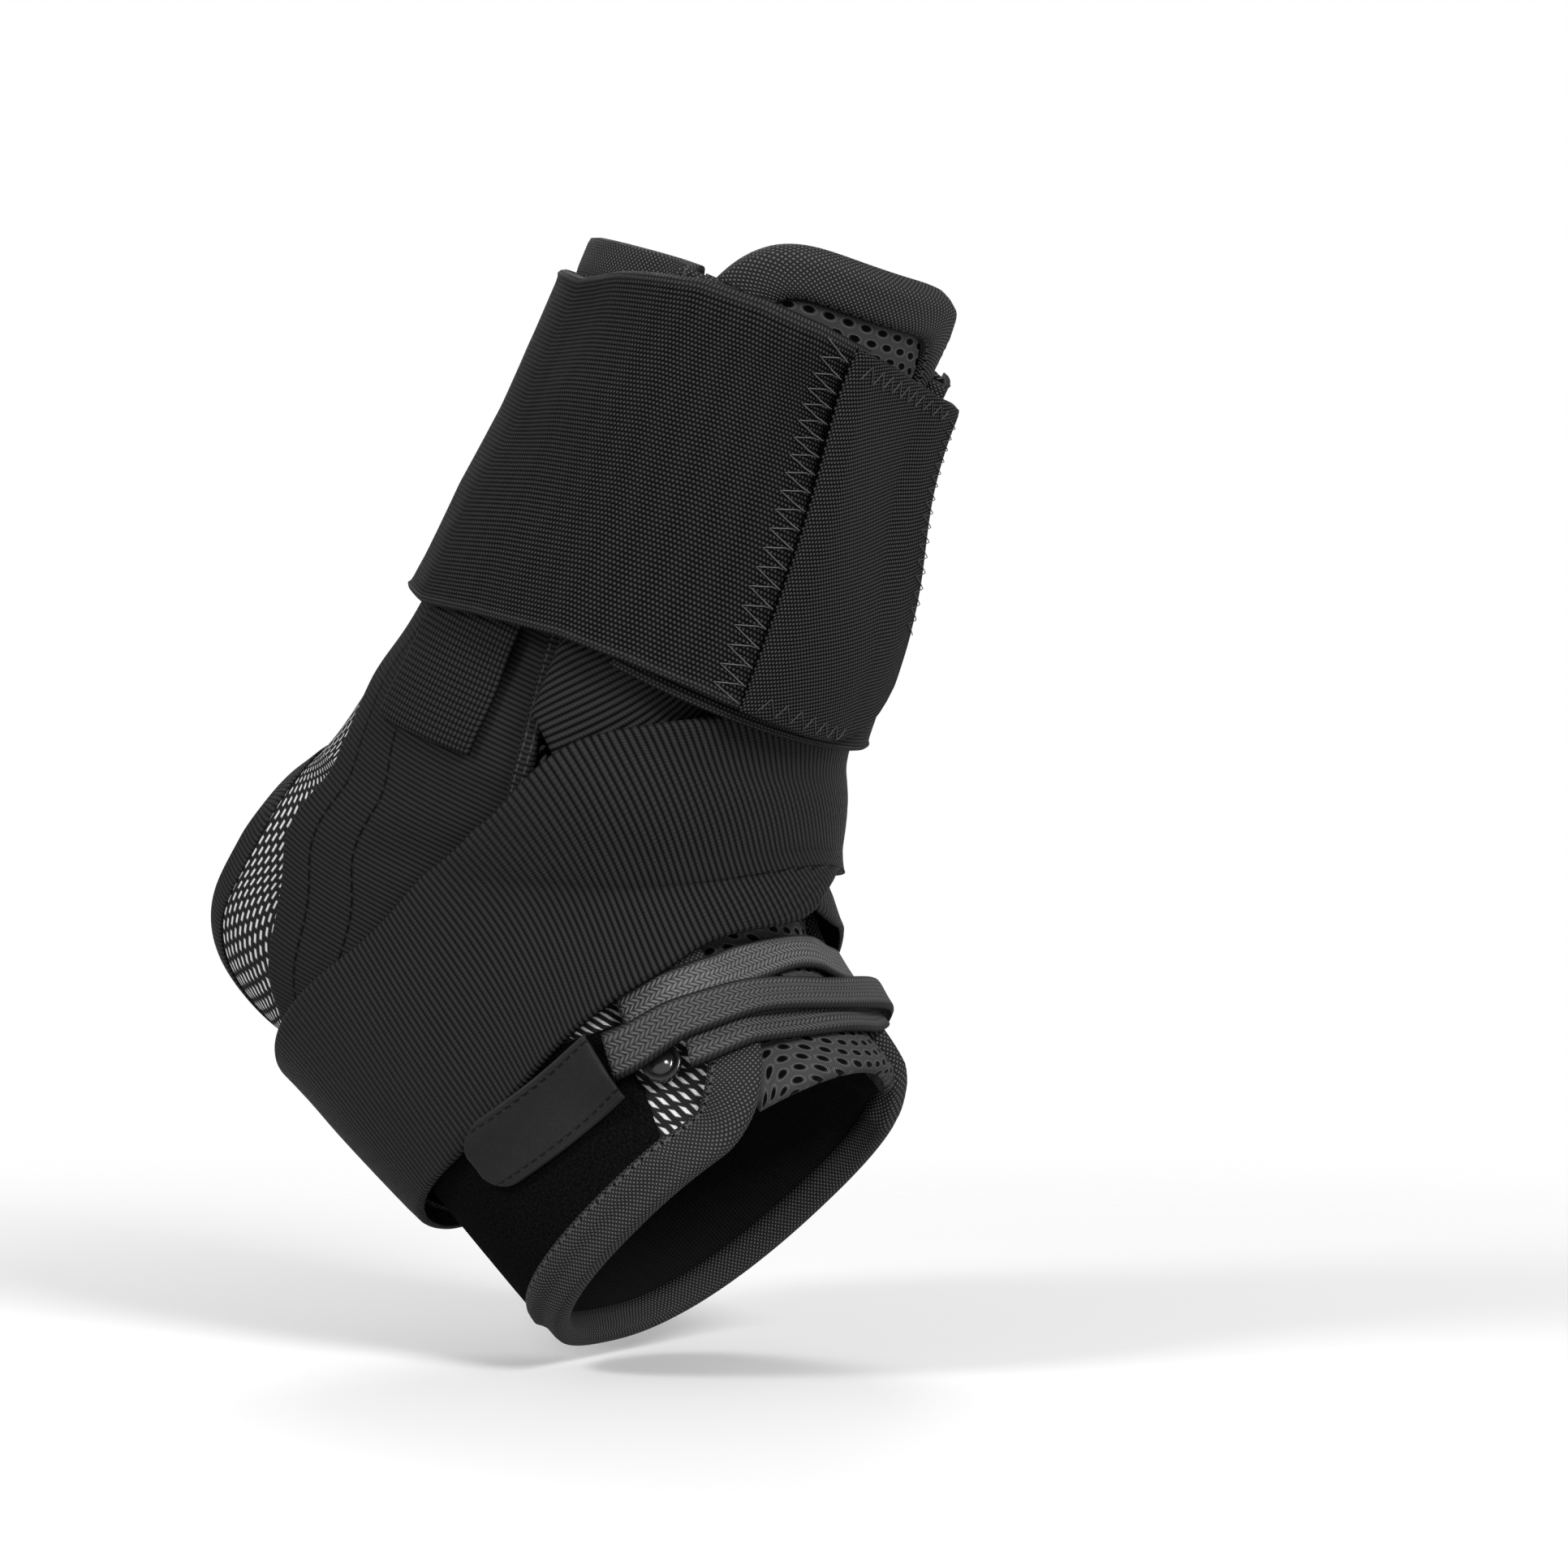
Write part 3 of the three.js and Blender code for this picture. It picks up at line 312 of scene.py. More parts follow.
def close_sheet(name, grids, finish, ring=False, lining=None):
    """One mesh from grids of (outer points, inner points, along, across); closed round each rim."""
    vertices, faces, marks, slots = [], [], [], []
    start = 0
    for outer, inner, along, across in grids:
        rows, columns = outer.shape[:2]
        count = rows * columns
        ids = np.arange(count).reshape(rows, columns) + start
        vertices += [to_metres(outer).reshape(-1, 3), to_metres(inner).reshape(-1, 3)]
        mark = np.stack([along, across], -1).reshape(-1, 2)
        marks += [mark, mark]
        a, b, c, d = ids[:-1, :-1], ids[1:, :-1], ids[1:, 1:], ids[:-1, 1:]
        facing = (np.cross(outer[1:, :-1] - outer[:-1, :-1], outer[:-1, 1:] - outer[:-1, :-1])
                  * (outer[:-1, :-1] - inner[:-1, :-1])).sum()
        top = np.stack([a, b, c, d], -1).reshape(-1, 4)
        under = top[:, ::-1] + count
        rims = [(ids[:-1, 0], ids[1:, 0]), (ids[1:, -1], ids[:-1, -1])]
        if not ring:
            rims += [(ids[0, 1:], ids[0, :-1]), (ids[-1, :-1], ids[-1, 1:])]
        walls = np.concatenate([np.stack([q, p, p + count, q + count], -1) for p, q in rims])
        shell = np.concatenate([top, under, walls])
        slots.append(np.repeat([0, 1, 1], [len(top), len(under), len(walls)]))
        faces.append(shell if facing > 0 else shell[:, ::-1])
        start += 2 * count
    vertices, faces, marks = np.concatenate(vertices), np.concatenate(faces), np.concatenate(marks)
    mesh = bpy.data.meshes.new(f"{name}_cloth")
    mesh.from_pydata(vertices.tolist(), [], faces.tolist())
    layer = mesh.uv_layers.new(name="UVMap")
    corner = np.empty(len(mesh.loops), int)
    mesh.loops.foreach_get("vertex_index", corner)
    layer.data.foreach_set("uv", marks[corner].ravel())
    mesh.materials.append(finish)
    if lining:
        mesh.materials.append(lining)
        mesh.polygons.foreach_set("material_index", np.concatenate(slots))
    bm = bmesh.new()
    bm.from_mesh(mesh)
    bmesh.ops.remove_doubles(bm, verts=bm.verts, dist=1e-6)
    bmesh.ops.dissolve_degenerate(bm, edges=bm.edges, dist=1e-7)
    bm.to_mesh(mesh)
    bm.free()
    mesh.shade_smooth()
    piece = bpy.data.objects.new(f"{name}_cloth", mesh)
    bpy.context.collection.objects.link(piece)
    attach(piece, "root")
    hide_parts(name)
    return piece


def lay_sheet(name, station, angle, lift, wall, rim, finish):
    """Lays one sheet at a lift, with a rounded rim, and raises the height map to its face."""
    outer = skin(station, angle, lift + wall * rim)
    inner = skin(station, angle, lift)
    pile_up(heights, station, angle, lift + wall)
    return close_sheet(name, [(outer, inner, travelled(outer, 0), travelled(outer, 1))], finish)


def start_finish(name, roughness, specular):
    """A cloth material, and its millimetre map as two values: along and across."""
    material = bpy.data.materials.new(name)
    material.use_nodes = True
    tree = material.node_tree
    shader = tree.nodes["Principled BSDF"]
    shader.inputs["Roughness"].default_value = roughness
    shader.inputs["Specular IOR Level"].default_value = specular
    uv = Worked(tree, None).node("ShaderNodeUVMap", {"uv_map": "UVMap"})
    along = uv.node("ShaderNodeSeparateXYZ", None, {0: uv}, "X")
    across = Worked(tree, along.socket.node.outputs["Y"])
    return material, uv, along, across


def tinted(shade, dark, light, tint=(1, 1, 1)):
    """A shade from 0 to 1 as a colour between two greys."""
    return shade.node("ShaderNodeMix", {"data_type": "RGBA"}, {
        0: shade, 6: tuple(dark * c for c in tint) + (1,), 7: tuple(light * c for c in tint) + (1,)}, 2)


def end_finish(material, shade, dark, light, height, depth):
    """Links a shade to the colour, faintly blue, and a height, with its depth in millimetres, to the bump."""
    shader = material.node_tree.nodes["Principled BSDF"]
    tinted(shade, dark, light, (1, 1, 1.02)).into(shader, "Base Color")
    height.node("ShaderNodeBump", None, {
        "Strength": 1.0, "Distance": depth / 1000, "Height": height}).into(shader, "Normal")
    return material


# The lacing gap, which the tongue and the boot share, turns to the near side up the shaft
gap_turn = [(0.4, -27), (2, -15), (3.2, -7), (4.8, 0)]
gap_half = [(0.7, 48), (3, 42), (5, 38), (8, 35), (11, 35)]


def lacing_edge(station):
    return follow(gap_half, station)


def gap_centre(station):
    return follow(gap_turn, station)


mesh_pitch, mesh_row = 4.6, 4.6 * 0.62
air_mesh, uv, along, across = start_finish("air_mesh", 0.8, 0.04)
row = (along / mesh_row).maths("FLOOR")
shifted = across + row.part(2) * mesh_pitch
cell_x = (shifted.part(mesh_pitch) - 0.5) * mesh_pitch
cell_y = (along.part(mesh_row) - 0.5) * mesh_pitch * 0.62
hole_size = ((cell_x * cell_x) * 0.55 + (cell_y * cell_y) * 1.9).maths("SQRT")
hole = 1 - hole_size.step(0.95, 0.2)
# A painted highlight: a lighter ring just outside each hole, on its rim.
hole_rim_highlight = hole_size.band(1.1, 1.45, 0.15)
threads = (along + across).rounds(0.42) * (along - across).rounds(0.42)
# Colour: the holes are painted near black as painted shade, and the thread crowns are painted lighter than
# their hollows, following the bump: painted highlight and painted shade.
end_finish(air_mesh, (threads * 0.7 + hole_rim_highlight * 0.3) * (1 - hole), 0.0003, 0.085,
           (1 - hole) * 0.75 + threads * 0.1, 0.5)

tongue_s = knots(tongue_end - tongue_top, 0.055, 0.04)
tongue_t = 2 * knots(100, 2.0, 2.5) - 1
s, t = np.meshgrid(tongue_s, tongue_t, indexing="ij")
tongue_low = tongue_top + 0.5 * np.abs(t) ** 5
tongue_station = tongue_low + (tongue_end - tongue_low) * s
tongue_angle = gap_centre(tongue_station) + t * (lacing_edge(tongue_station) + tongue_overlap)
tongue_puff = 0.25 * np.sin(tongue_station * 5) * np.cos(t * 4)
tongue_lift = np.full_like(s, skin_gap) + tongue_puff
tongue = lay_sheet("tongue", tongue_station, tongue_angle, tongue_lift, tongue_wall,
                   rounded((1 - np.abs(t)) * 50, 3.0) * rounded((1 - s) * 170, 2.0), air_mesh)


# The tongue's binding: a soft woven tape folded round the tongue's top and upper sides over a
# filling, and sewn down along its inner edge, so that it stands up as a round roll.
binding_width, binding_turn, tongue_roll = 8.5, 5, 1.9


def walk(station, angle, direction, distance):
    """Places reached by going straight over the last for a distance."""
    station, angle, distance = np.broadcast_arrays(station * 1.0, angle * 1.0, distance * 1.0)
    steps = max(1, math.ceil(np.abs(distance).max() / 3))
    heading = direction * np.ones(station.shape + (1,))
    for _ in range(steps):
        _, down, around, out = surface(station, angle)
        heading = unit(heading - out * (heading * out).sum(-1, keepdims=True))
        dd, rr, dr = (down * down).sum(-1), (around * around).sum(-1), (down * around).sum(-1)
        hd, hr = (heading * down).sum(-1) * distance / steps, (heading * around).sum(-1) * distance / steps
        det = np.maximum(dd * rr - dr * dr, 1e-6)
        station, angle = station + (hd * rr - hr * dr) / det, angle + (hr * dd - hd * dr) / det
    return station, angle


def lift_at(layer_map, station, angle):
    x = np.clip(station / station_cell, 0, map_rows - 1.001)
    y = angle / angle_cell
    i, j = np.floor(x).astype(int), np.floor(y).astype(int)
    u, v = x - i, y - j
    low = layer_map[i, j % map_columns] * (1 - v) + layer_map[i, (j + 1) % map_columns] * v
    high = layer_map[i + 1, j % map_columns] * (1 - v) + layer_map[i + 1, (j + 1) % map_columns] * v
    return low * (1 - u) + high * u


def fold_over(name, edge_s, edge_a, edge_low, edge_high, width, turn, roll, finish, closed=False):
    """A binding along an edge; it lies on the sheet's face, folds round its rim and turns in behind."""
    if closed:
        before, after = np.roll(np.arange(len(edge_s)), 1), np.roll(np.arange(len(edge_s)), -1)
    else:
        before = np.maximum(np.arange(len(edge_s)) - 1, 0)
        after = np.minimum(np.arange(len(edge_s)) + 1, len(edge_s) - 1)
    points = last(edge_s, edge_a)
    run = unit(points[after] - points[before])
    inward = unit(np.cross(surface(edge_s, edge_a)[3], run))
    outer, inner = [], []
    for share in np.linspace(1, 0, 9):
        s, a = walk(edge_s, edge_a, inward, np.full(len(edge_s), share * width))
        face = np.maximum(edge_high, lift_at(heights, s, a)) + 0.1
        dome = math.sqrt(max(0.0, 1 - (2 * share - 1) ** 2)) if share > 0.5 else 1
        outer.append(skin(s, a, face + 0.35 + roll * dome))
        inner.append(skin(s, a, face))
    middle = (edge_high + edge_low) / 2
    half = (edge_high - edge_low) / 2
    for turned in np.radians([60, 30, 0, -30, -60]):
        bulge = half + 0.25 + roll * max(0.0, math.sin(turned))
        shift = (0.5 + roll * 0.9) * math.cos(turned)
        outer.append(skin(edge_s, edge_a, middle + (bulge + 0.5) * math.sin(turned)) - inward * (shift + 0.5))
        inner.append(skin(edge_s, edge_a, middle + half * math.sin(turned)) - inward * 0.1)
    for share in (0.0, 0.5, 1.0):
        s, a = walk(edge_s, edge_a, inward, np.full(len(edge_s), share * turn))
        outer.append(skin(s, a, edge_low - 0.8))
        inner.append(skin(s, a, edge_low - 0.1))
    outer, inner = np.stack(outer, 1), np.stack(inner, 1)
    if closed:
        outer, inner = np.concatenate([outer, outer[:1]]), np.concatenate([inner, inner[:1]])
    s, a = walk(edge_s, edge_a, inward, np.full(len(edge_s), width))
    lift = np.maximum(edge_high, lift_at(heights, s, a)) + 0.35 + roll * 0.8
    pile_up(heights, np.stack([s, edge_s], 1), np.stack([a, edge_a], 1),
            np.stack([lift, edge_high + 0.35 + roll], 1))
    along = np.repeat(travelled(outer, 0)[:, 4:5], outer.shape[1], 1)
    return close_sheet(name, [(outer, inner, along, travelled(outer, 1))], finish, ring=closed)


def even_line(station, angle, step):
    """The same line with places evenly spaced by distance."""
    run = travelled(last(station, angle))
    spots = np.linspace(0, run[-1], round(run[-1] / step) + 1)
    return np.interp(spots, run, station), np.interp(spots, run, angle)


def diamond_weave(name, pitch, dark, light):
    material, uv, along, across = start_finish(name, 0.75, 0.05)
    weave = (along + across).wave(pitch) * (along - across).wave(pitch)
    fine = along.rounds(pitch * 0.5)
    seam = across.band(0.9, 1.5, 0.1)
    stitches = seam * along.part(2.8).band(0.12, 0.85, 0.06)
    # The colour follows the bump: the weave's crowns are painted lighter, and its hollows and the stitch
    # groove darker, as painted highlight and painted shade.
    return end_finish(material, (weave * 0.9 + fine * 0.1) * (1 - seam) + stitches * 0.5, dark, light,
                      (weave + fine * 0.2) * (1 - seam) + stitches, 0.3)


binding_cloth = diamond_weave("binding_cloth", 1.15, 0.0, 0.09)
bound_to = 2.3
side_rows = tongue_station[:, 0] < bound_to
near_s, near_a = tongue_station[side_rows, 0][::-1], tongue_angle[side_rows, 0][::-1]
far_s, far_a = tongue_station[side_rows, -1], tongue_angle[side_rows, -1]
rim_s = np.concatenate([near_s, tongue_station[0, 1:-1], far_s])[::-1]
rim_a = np.concatenate([near_a, tongue_angle[0, 1:-1], far_a])[::-1]
rim_s, rim_a = even_line(rim_s, rim_a, 1.2)
rim_high = np.full(len(rim_s), skin_gap + tongue_wall)
tongue_binding = fold_over("tongue_binding", rim_s, rim_a, rim_high - tongue_wall, rim_high, binding_width,
                           binding_turn, tongue_roll, binding_cloth)


# The boot: a stretch knit shaped in two halves over a dark lining, open down the front for the
# lacing, cut away in an oval at the heel, and open at the forefoot. Pale dashes run along its rows.
collar_back, forefoot_end, corner_start, corner_rise, boot_wall = 1.0, 10.22, 62, 0.8, 2.4
boot_cut = 260
collar_table = [(-180, 1.0), (-135, 0.88), (-100, 0.8), (-70, 0.74), (20, 0.88), (60, 0.94), (120, 1.02),
                (180, 1.0)]


def evened(table):
    """The same outline with its corners cut off, three times over; its ends stay."""
    rows = np.array(table, float)
    for _ in range(3):
        quarter, three_quarters = 0.75 * rows[:-1] + 0.25 * rows[1:], 0.25 * rows[:-1] + 0.75 * rows[1:]
        cut = np.stack([quarter, three_quarters], 1).reshape(-1, 2)
        rows = np.concatenate([rows[:1], cut[1:-1], rows[-1:]])
    return rows


hole_top, hole_end = 5.0, 7.65
heel_hole = evened([(hole_top, 0), (5.25, 27), (5.7, 45), (6.2, 46), (6.7, 37), (7.15, 29), (7.45, 20),
                    (hole_end, 0)])


def collar_edge(angle):
    return follow(collar_table, (angle + 180) % 360 - 180)


def forefoot_edge(angle):
    rise = np.clip((corner_start - np.abs(angle)) / (corner_start - gap_half[-1][1]), 0, 1)
    return forefoot_end - corner_rise * rise**3


def boot_place(side, s, t):
    nominal = collar_back + (forefoot_end - collar_back) * s
    hole = follow(heel_hole, nominal)
    half = (180 - hole) + (lacing_edge(nominal) - 180 + hole) * t
    angle = gap_centre(nominal) + side * half
    low, high = collar_edge(angle), forefoot_edge(angle)
    return low + (high - low) * s, angle


boot_knit, uv, along, across = start_finish("boot_knit", 0.9, 0.023)
dash_length, dash_row = 3.4, 2.05
row = (across / dash_row).maths("FLOOR")
dash_x = (along + row.part(2) * dash_length).part(dash_length)
dash_y = across.part(dash_row)
dash = dash_x.band(0.18, 0.78, 0.05) * dash_y.band(0.3, 0.68, 0.06)
loops = along.rounds(0.55) * across.rounds(0.5)
# Between the pale dashes, the knit's loops are painted a little lighter on their crowns than in their
# hollows, following the bump: painted highlight and painted shade.
end_finish(boot_knit, dash * (0.75 + 0.25 * across.wave(0.5)) + loops * 0.04, 0.0006, 0.5,
           dash * 0.8 + loops * 0.3, 0.3)


_, map_down, map_around, _ = surface(*np.meshgrid(
    np.arange(map_rows) * station_cell, np.arange(map_columns) * angle_cell * 1.0, indexing="ij"))
cell_down = np.maximum(0.2, np.linalg.norm(map_down, axis=-1) * station_cell)
cell_around = np.maximum(0.5, np.linalg.norm(map_around, axis=-1) * angle_cell)


def windowed(values, reach, size, axis, highest):
    """Passes a window of a given reach over a map along one axis."""
    cells = np.minimum(30, np.ceil(reach / size))
    total = np.full_like(values, -1e9) if highest else np.zeros_like(values)
    count = 1 if highest else np.zeros_like(values)
    for k in range(-int(cells.max()), int(cells.max()) + 1):
        rows = np.clip(np.arange(map_rows) + (k if axis == 0 else 0), 0, map_rows - 1)
        shifted = values[rows] if axis == 0 else np.roll(values, -k, 1)
        inside = cells >= abs(k)
        if highest:
            total = np.where(inside, np.maximum(total, shifted), total)
        else:
            total, count = total + np.where(inside, shifted, 0), count + inside
    return total / count


def eased(layer_map, reach):
    """The lift at which a further layer passes clear of what lies within reach."""
    values = windowed(layer_map, reach, cell_down, 0, True)
    values = windowed(values, reach, cell_around, 1, True)
    values = windowed(values, reach * 1.3, cell_down, 0, False)
    return windowed(values, reach * 1.3, cell_around, 1, False)


def grain(uv, scale, detail=2.0):
    return uv.node("ShaderNodeTexNoise", None, {"Vector": uv, "Scale": scale, "Detail": detail})


def flat_sheet(piece, width, fullness=0.95):
    """Works out a piece's length from its measured area, for cloth cut to a width in millimetres; the length
    is not kept.
    """
    bm = bmesh.new()
    bm.from_mesh(piece.data)
    area = sum(face.calc_area() for face in bm.faces) / 2
    bm.free()
    area / fullness / (width / 1000)


boot_under = eased(heights, 3.0)
hole_ends = (np.array([hole_top, hole_end]) - collar_back) / (forefoot_end - collar_back)
boot_s = np.sort(np.concatenate([np.linspace(0, 1, 190), hole_ends]))
boot_t = np.concatenate([[0, 0.004], np.linspace(0.012, 0.988, 72), [0.996, 1]])
boot_grids, boot_edges = [], {}
for side, name in ((-1, "near"), (1, "far")):
    s, t = np.meshgrid(boot_s, boot_t, indexing="ij")
    station, angle = boot_place(side, s, t)
    lift = lift_at(boot_under, station, angle) + skin_gap
    outer, inner = skin(station, angle, lift + boot_wall), skin(station, angle, lift)
    boot_grids.append((outer, inner, travelled(outer, 0), travelled(outer, 1)))
    boot_edges[name] = (station, angle)
    pile_up(heights, station, angle, lift + boot_wall)
boot_lining, uv, along, across = start_finish("boot_lining", 0.9, 0.023)
loops = along.rounds(0.9) * across.rounds(0.8)
# The lining's loops are painted lighter on their crowns and darker in their hollows, following the bump:
# painted highlight and painted shade.
end_finish(boot_lining, loops * 0.6 + grain(uv, 0.2) * 0.3, 0.002, 0.012, loops, 0.3)
boot = close_sheet("boot_shell", boot_grids, boot_knit, lining=boot_lining)
flat_sheet(boot, boot_cut, 0.8)


# Loop fields: pieces of brushed loop pile sewn flat to the boot. A small one lies below the cuff on
# each side, and a wide one beside the forefoot takes the hooks of the pull tab.
loop_pile, uv, along, across = start_finish("loop_pile", 0.95, 0.01)
fluff = grain(uv, 1.6, 6)
end_finish(loop_pile, fluff * fluff * 1.3, 0.0002, 0.008, fluff, 0.7)
loop_fields = {
    # top, bottom, rear, front, length and width in millimetres
    "loop_patch": ([(0, 3.3), (1, 3.3)], [(0, 4.8), (1, 4.8)], [(0, 70.5), (1, 69)],
                   [(0, 56), (1, 58)], 60, 12),
    "loop_panel": ([(0, 8.3), (1, 8.5)], [(0, 10.05), (1, 10.05)], [(0, 136), (1, 150)],
                   [(0, 61), (0.5, 64), (1, 71)], 40, 60),
}
for field, (top, bottom, rear, front, length, width) in loop_fields.items():
    for side, name in ((1, "far"), (-1, "near")):
        s, t = np.meshgrid(knots(length, 1.4), knots(width, 1.4), indexing="ij")
        station = follow(top, t) * (1 - s) + follow(bottom, t) * s
        angle = side * (follow(rear, s) * (1 - t) + follow(front, s) * t)
        lift = lift_at(eased(heights, 2.0), station, angle) + 0.3
        rim = rounded(np.minimum(np.minimum(s, 1 - s) * length, np.minimum(t, 1 - t) * width))
        patch = lay_sheet(f"{field}_{name}", station, angle, lift, 1.0, rim, loop_pile)
        flat_sheet(patch, width, 0.9)


# The boot's bindings: the same soft tape, folded and sewn as a thin roll, down the two lacing edges
# and round the forefoot in one length, and round the collar in another.
boot_roll = 0.9
near_s, near_a = boot_edges["near"]
far_s, far_a = boot_edges["far"]
front_s = np.concatenate([near_s[:, -1], near_s[-1, ::-1][1:], far_s[-1, :][1:], far_s[::-1, -1][1:]])[::-1]
front_a = np.concatenate([near_a[:, -1], near_a[-1, ::-1][1:], far_a[-1, :][1:] - 360,
                          far_a[::-1, -1][1:] - 360])[::-1]
front_s, front_a = even_line(front_s, front_a, 1.3)
front_low = lift_at(boot_under, front_s, front_a) + skin_gap
fold_over("front_binding", front_s, front_a, front_low, front_low + boot_wall, binding_width, binding_turn,
          boot_roll, binding_cloth)
collar_s = np.concatenate([near_s[0, ::-1], far_s[0, :][1:]])
collar_a = np.concatenate([near_a[0, ::-1], far_a[0, :][1:] - 360])
collar_s, collar_a = even_line(collar_s, collar_a, 1.3)
collar_s, collar_a = collar_s[5:-5], collar_a[5:-5]
collar_low = lift_at(boot_under, collar_s, collar_a) + skin_gap
fold_over("collar_binding", collar_s, collar_a, collar_low, collar_low + boot_wall, binding_width,
          binding_turn, boot_roll, binding_cloth)


# The heel's binding: a narrow, finely ribbed tape, folded round the oval at the heel and sewn
# through. It lies nearly flat, and its ribs run across it.
heel_tape, uv, along, across = start_finish("heel_tape", 0.75, 0.05)
ribs = along.rounds(1.15)
# The ribs are painted lighter on their crowns and darker in their grooves, following the bump: painted
# highlight and painted shade.
end_finish(heel_tape, ribs * ribs * 0.8 + grain(uv, 0.6) * 0.2, 0.0003, 0.018, ribs, 0.28)
hole_rows = follow(heel_hole, collar_back + (forefoot_end - collar_back) * boot_s) > 0
top_row, end_row = np.flatnonzero(hole_rows)[[0, -1]] + [-1, 1]
hole_s = np.concatenate([near_s[top_row:end_row + 1, 0], far_s[top_row:end_row + 1, 0][::-1][1:-1]])
hole_a = np.concatenate([near_a[top_row:end_row + 1, 0], far_a[top_row:end_row + 1, 0][::-1][1:-1] - 360])
hole_s, hole_a = np.append(hole_s, hole_s[0]), np.append(hole_a, hole_a[0])
hole_s, hole_a = (line[:-1] for line in even_line(hole_s, hole_a, 1.1))
hole_low = lift_at(boot_under, hole_s, hole_a) + skin_gap
fold_over("heel_binding", hole_s, hole_a, hole_low, hole_low + boot_wall, 5, 3.5, 0.25, heel_tape,
          closed=True)


# Stay pockets: a ribbed cloth panel on each side of the boot, its ribs level, sewn in channels over
# the stays, with a narrow folded and double-stitched front edge of the same cloth.
layer_gap, panel_wall = 1.0, 1.3
pocket_top, pocket_end, pocket_bulge, pocket_length, pocket_width, pocket_cut = 1.5, 7.6, 0.45, 180, 48, 60
pocket_rear = evened([(pocket_top, 138), (3.6, 143), (4.3, 135), (5.25, 125), (6, 118), (6.5, 116), (7, 122),
                      (pocket_end, 136)])
pocket_front = evened([(pocket_top, 84), (2.8, 76), (3.5, 72), (4.4, 70), (5.5, 69), (6.5, 70),
                       (pocket_end, 80)])
ribbed_cloth, uv, along, across = start_finish("ribbed_cloth", 0.75, 0.05)
ribs = along.rounds(1.15)
channel = across.band(9.0, 9.9, 0.2) + across.band(21.5, 22.4, 0.2)
thread = (across.band(9.2, 9.7, 0.1) + across.band(21.7, 22.2, 0.1)) * along.part(3.2).band(0.12, 0.8, 0.06)
# The ribs are painted lighter on their crowns and darker in their grooves, following the bump: painted
# highlight and painted shade; the dark dashes are thread.
end_finish(ribbed_cloth, ribs * ribs * 0.6 + across.wave(0.6) * 0.06 + grain(uv, 0.25) * 0.1 - thread * 0.8,
           0.0002, 0.02, ribs * 0.7 - channel * 1.2 + thread * 0.8, 0.3)


def even_rows(low, high, angle, step):
    """Stations between two, evenly spaced by distance along one angle."""
    many = np.linspace(low, high, 600)
    run = travelled(last(many, np.full(600, angle)))
    return np.interp(knots(run[-1], step) * run[-1], run, many)


for side, name in ((1, "far"), (-1, "near")):
    nominal, t = np.meshgrid(even_rows(pocket_top, pocket_end, 110, 1.6), knots(pocket_width, 1.6),
                             indexing="ij")
    s = (nominal - pocket_top) / (pocket_end - pocket_top)
    station = nominal + pocket_bulge * s**4 * np.sin(math.pi * t)
    angle = side * (follow(pocket_rear, nominal) * (1 - t) + follow(pocket_front, nominal) * t)
    stay = np.exp(-(((t - 0.45) * pocket_width) / 7) ** 2) * 0.5 + 0.12 * np.sin(nominal * 7 + t * 5)
    stay = stay * np.sin(math.pi * np.clip(s, 0, 1)) ** 0.5
    lift = lift_at(eased(heights, 2.0), station, angle) + layer_gap + stay
    rim = rounded(np.minimum(t, 1 - t) * pocket_width) * rounded(np.minimum(s, 1 - s) * pocket_length)
    panel = lay_sheet(f"stay_panel_{name}", station, angle, lift, panel_wall, rim, ribbed_cloth)
    flat_sheet(panel, pocket_cut, 0.8)


def steady(headings, spread):
    """Headings along a line, evened out over a number of rows to each side."""
    bell = np.exp(-((np.arange(-3 * spread, 3 * spread + 1) / spread) ** 2) / 2)
    rows = np.concatenate([np.repeat(headings[:1], 3 * spread, 0), headings,
                           np.repeat(headings[-1:], 3 * spread, 0)])
    return unit(np.stack([np.convolve(rows[:, k], bell, "valid") for k in range(3)], -1))


def strip_places(centre, width, side, step, start_slant=0, end_slant=0, tip=None):
    """A grid over a strip of constant width along a chosen centre line: station, angle, along, across."""
    count, lines = 420, 13
    line = curve_through(centre, np.linspace(0, len(centre) - 1, count + 1))
    station, angle = line[:, 0], side * line[:, 1]
    points = last(station, angle)
    run = travelled(points)
    heading = steady(np.gradient(points, axis=0), 20)
    sideways = unit(np.cross(surface(station, angle)[3], heading))
    offsets = side * width * np.linspace(-0.5, 0.5, lines)
    lattice_s, lattice_a = walk(np.repeat(station[:, None], lines, 1), np.repeat(angle[:, None], lines, 1),
                                np.repeat(sideways[:, None], lines, 1),
                                np.repeat(offsets[None], count + 1, 0))
    length = run[-1]
    s, t = np.meshgrid(knots(length, step), 2 * knots(width, step) - 1, indexing="ij")
    start = abs(start_slant) + start_slant * t
    end = length - abs(end_slant) + end_slant * t
    along = start + (end - start) * s
    reach = t * (tip(along, length) if tip else 1)
    row = np.interp(along, run, np.arange(count + 1))
    column = (reach + 1) / 2 * (lines - 1)
    i, k = np.minimum(row.astype(int), count - 1), np.minimum(column.astype(int), lines - 2)
    u, v = row - i, column - k

    def mixed(grid):
        before = grid[i, k] * (1 - v) + grid[i, k + 1] * v
        after = grid[i + 1, k] * (1 - v) + grid[i + 1, k + 1] * v
        return before * (1 - u) + after * u

    rim = rounded(np.minimum(np.minimum(along - start, end - along), (1 - np.abs(t)) * width / 2))
    return mixed(lattice_s), mixed(lattice_a), along, reach * width / 2, rim


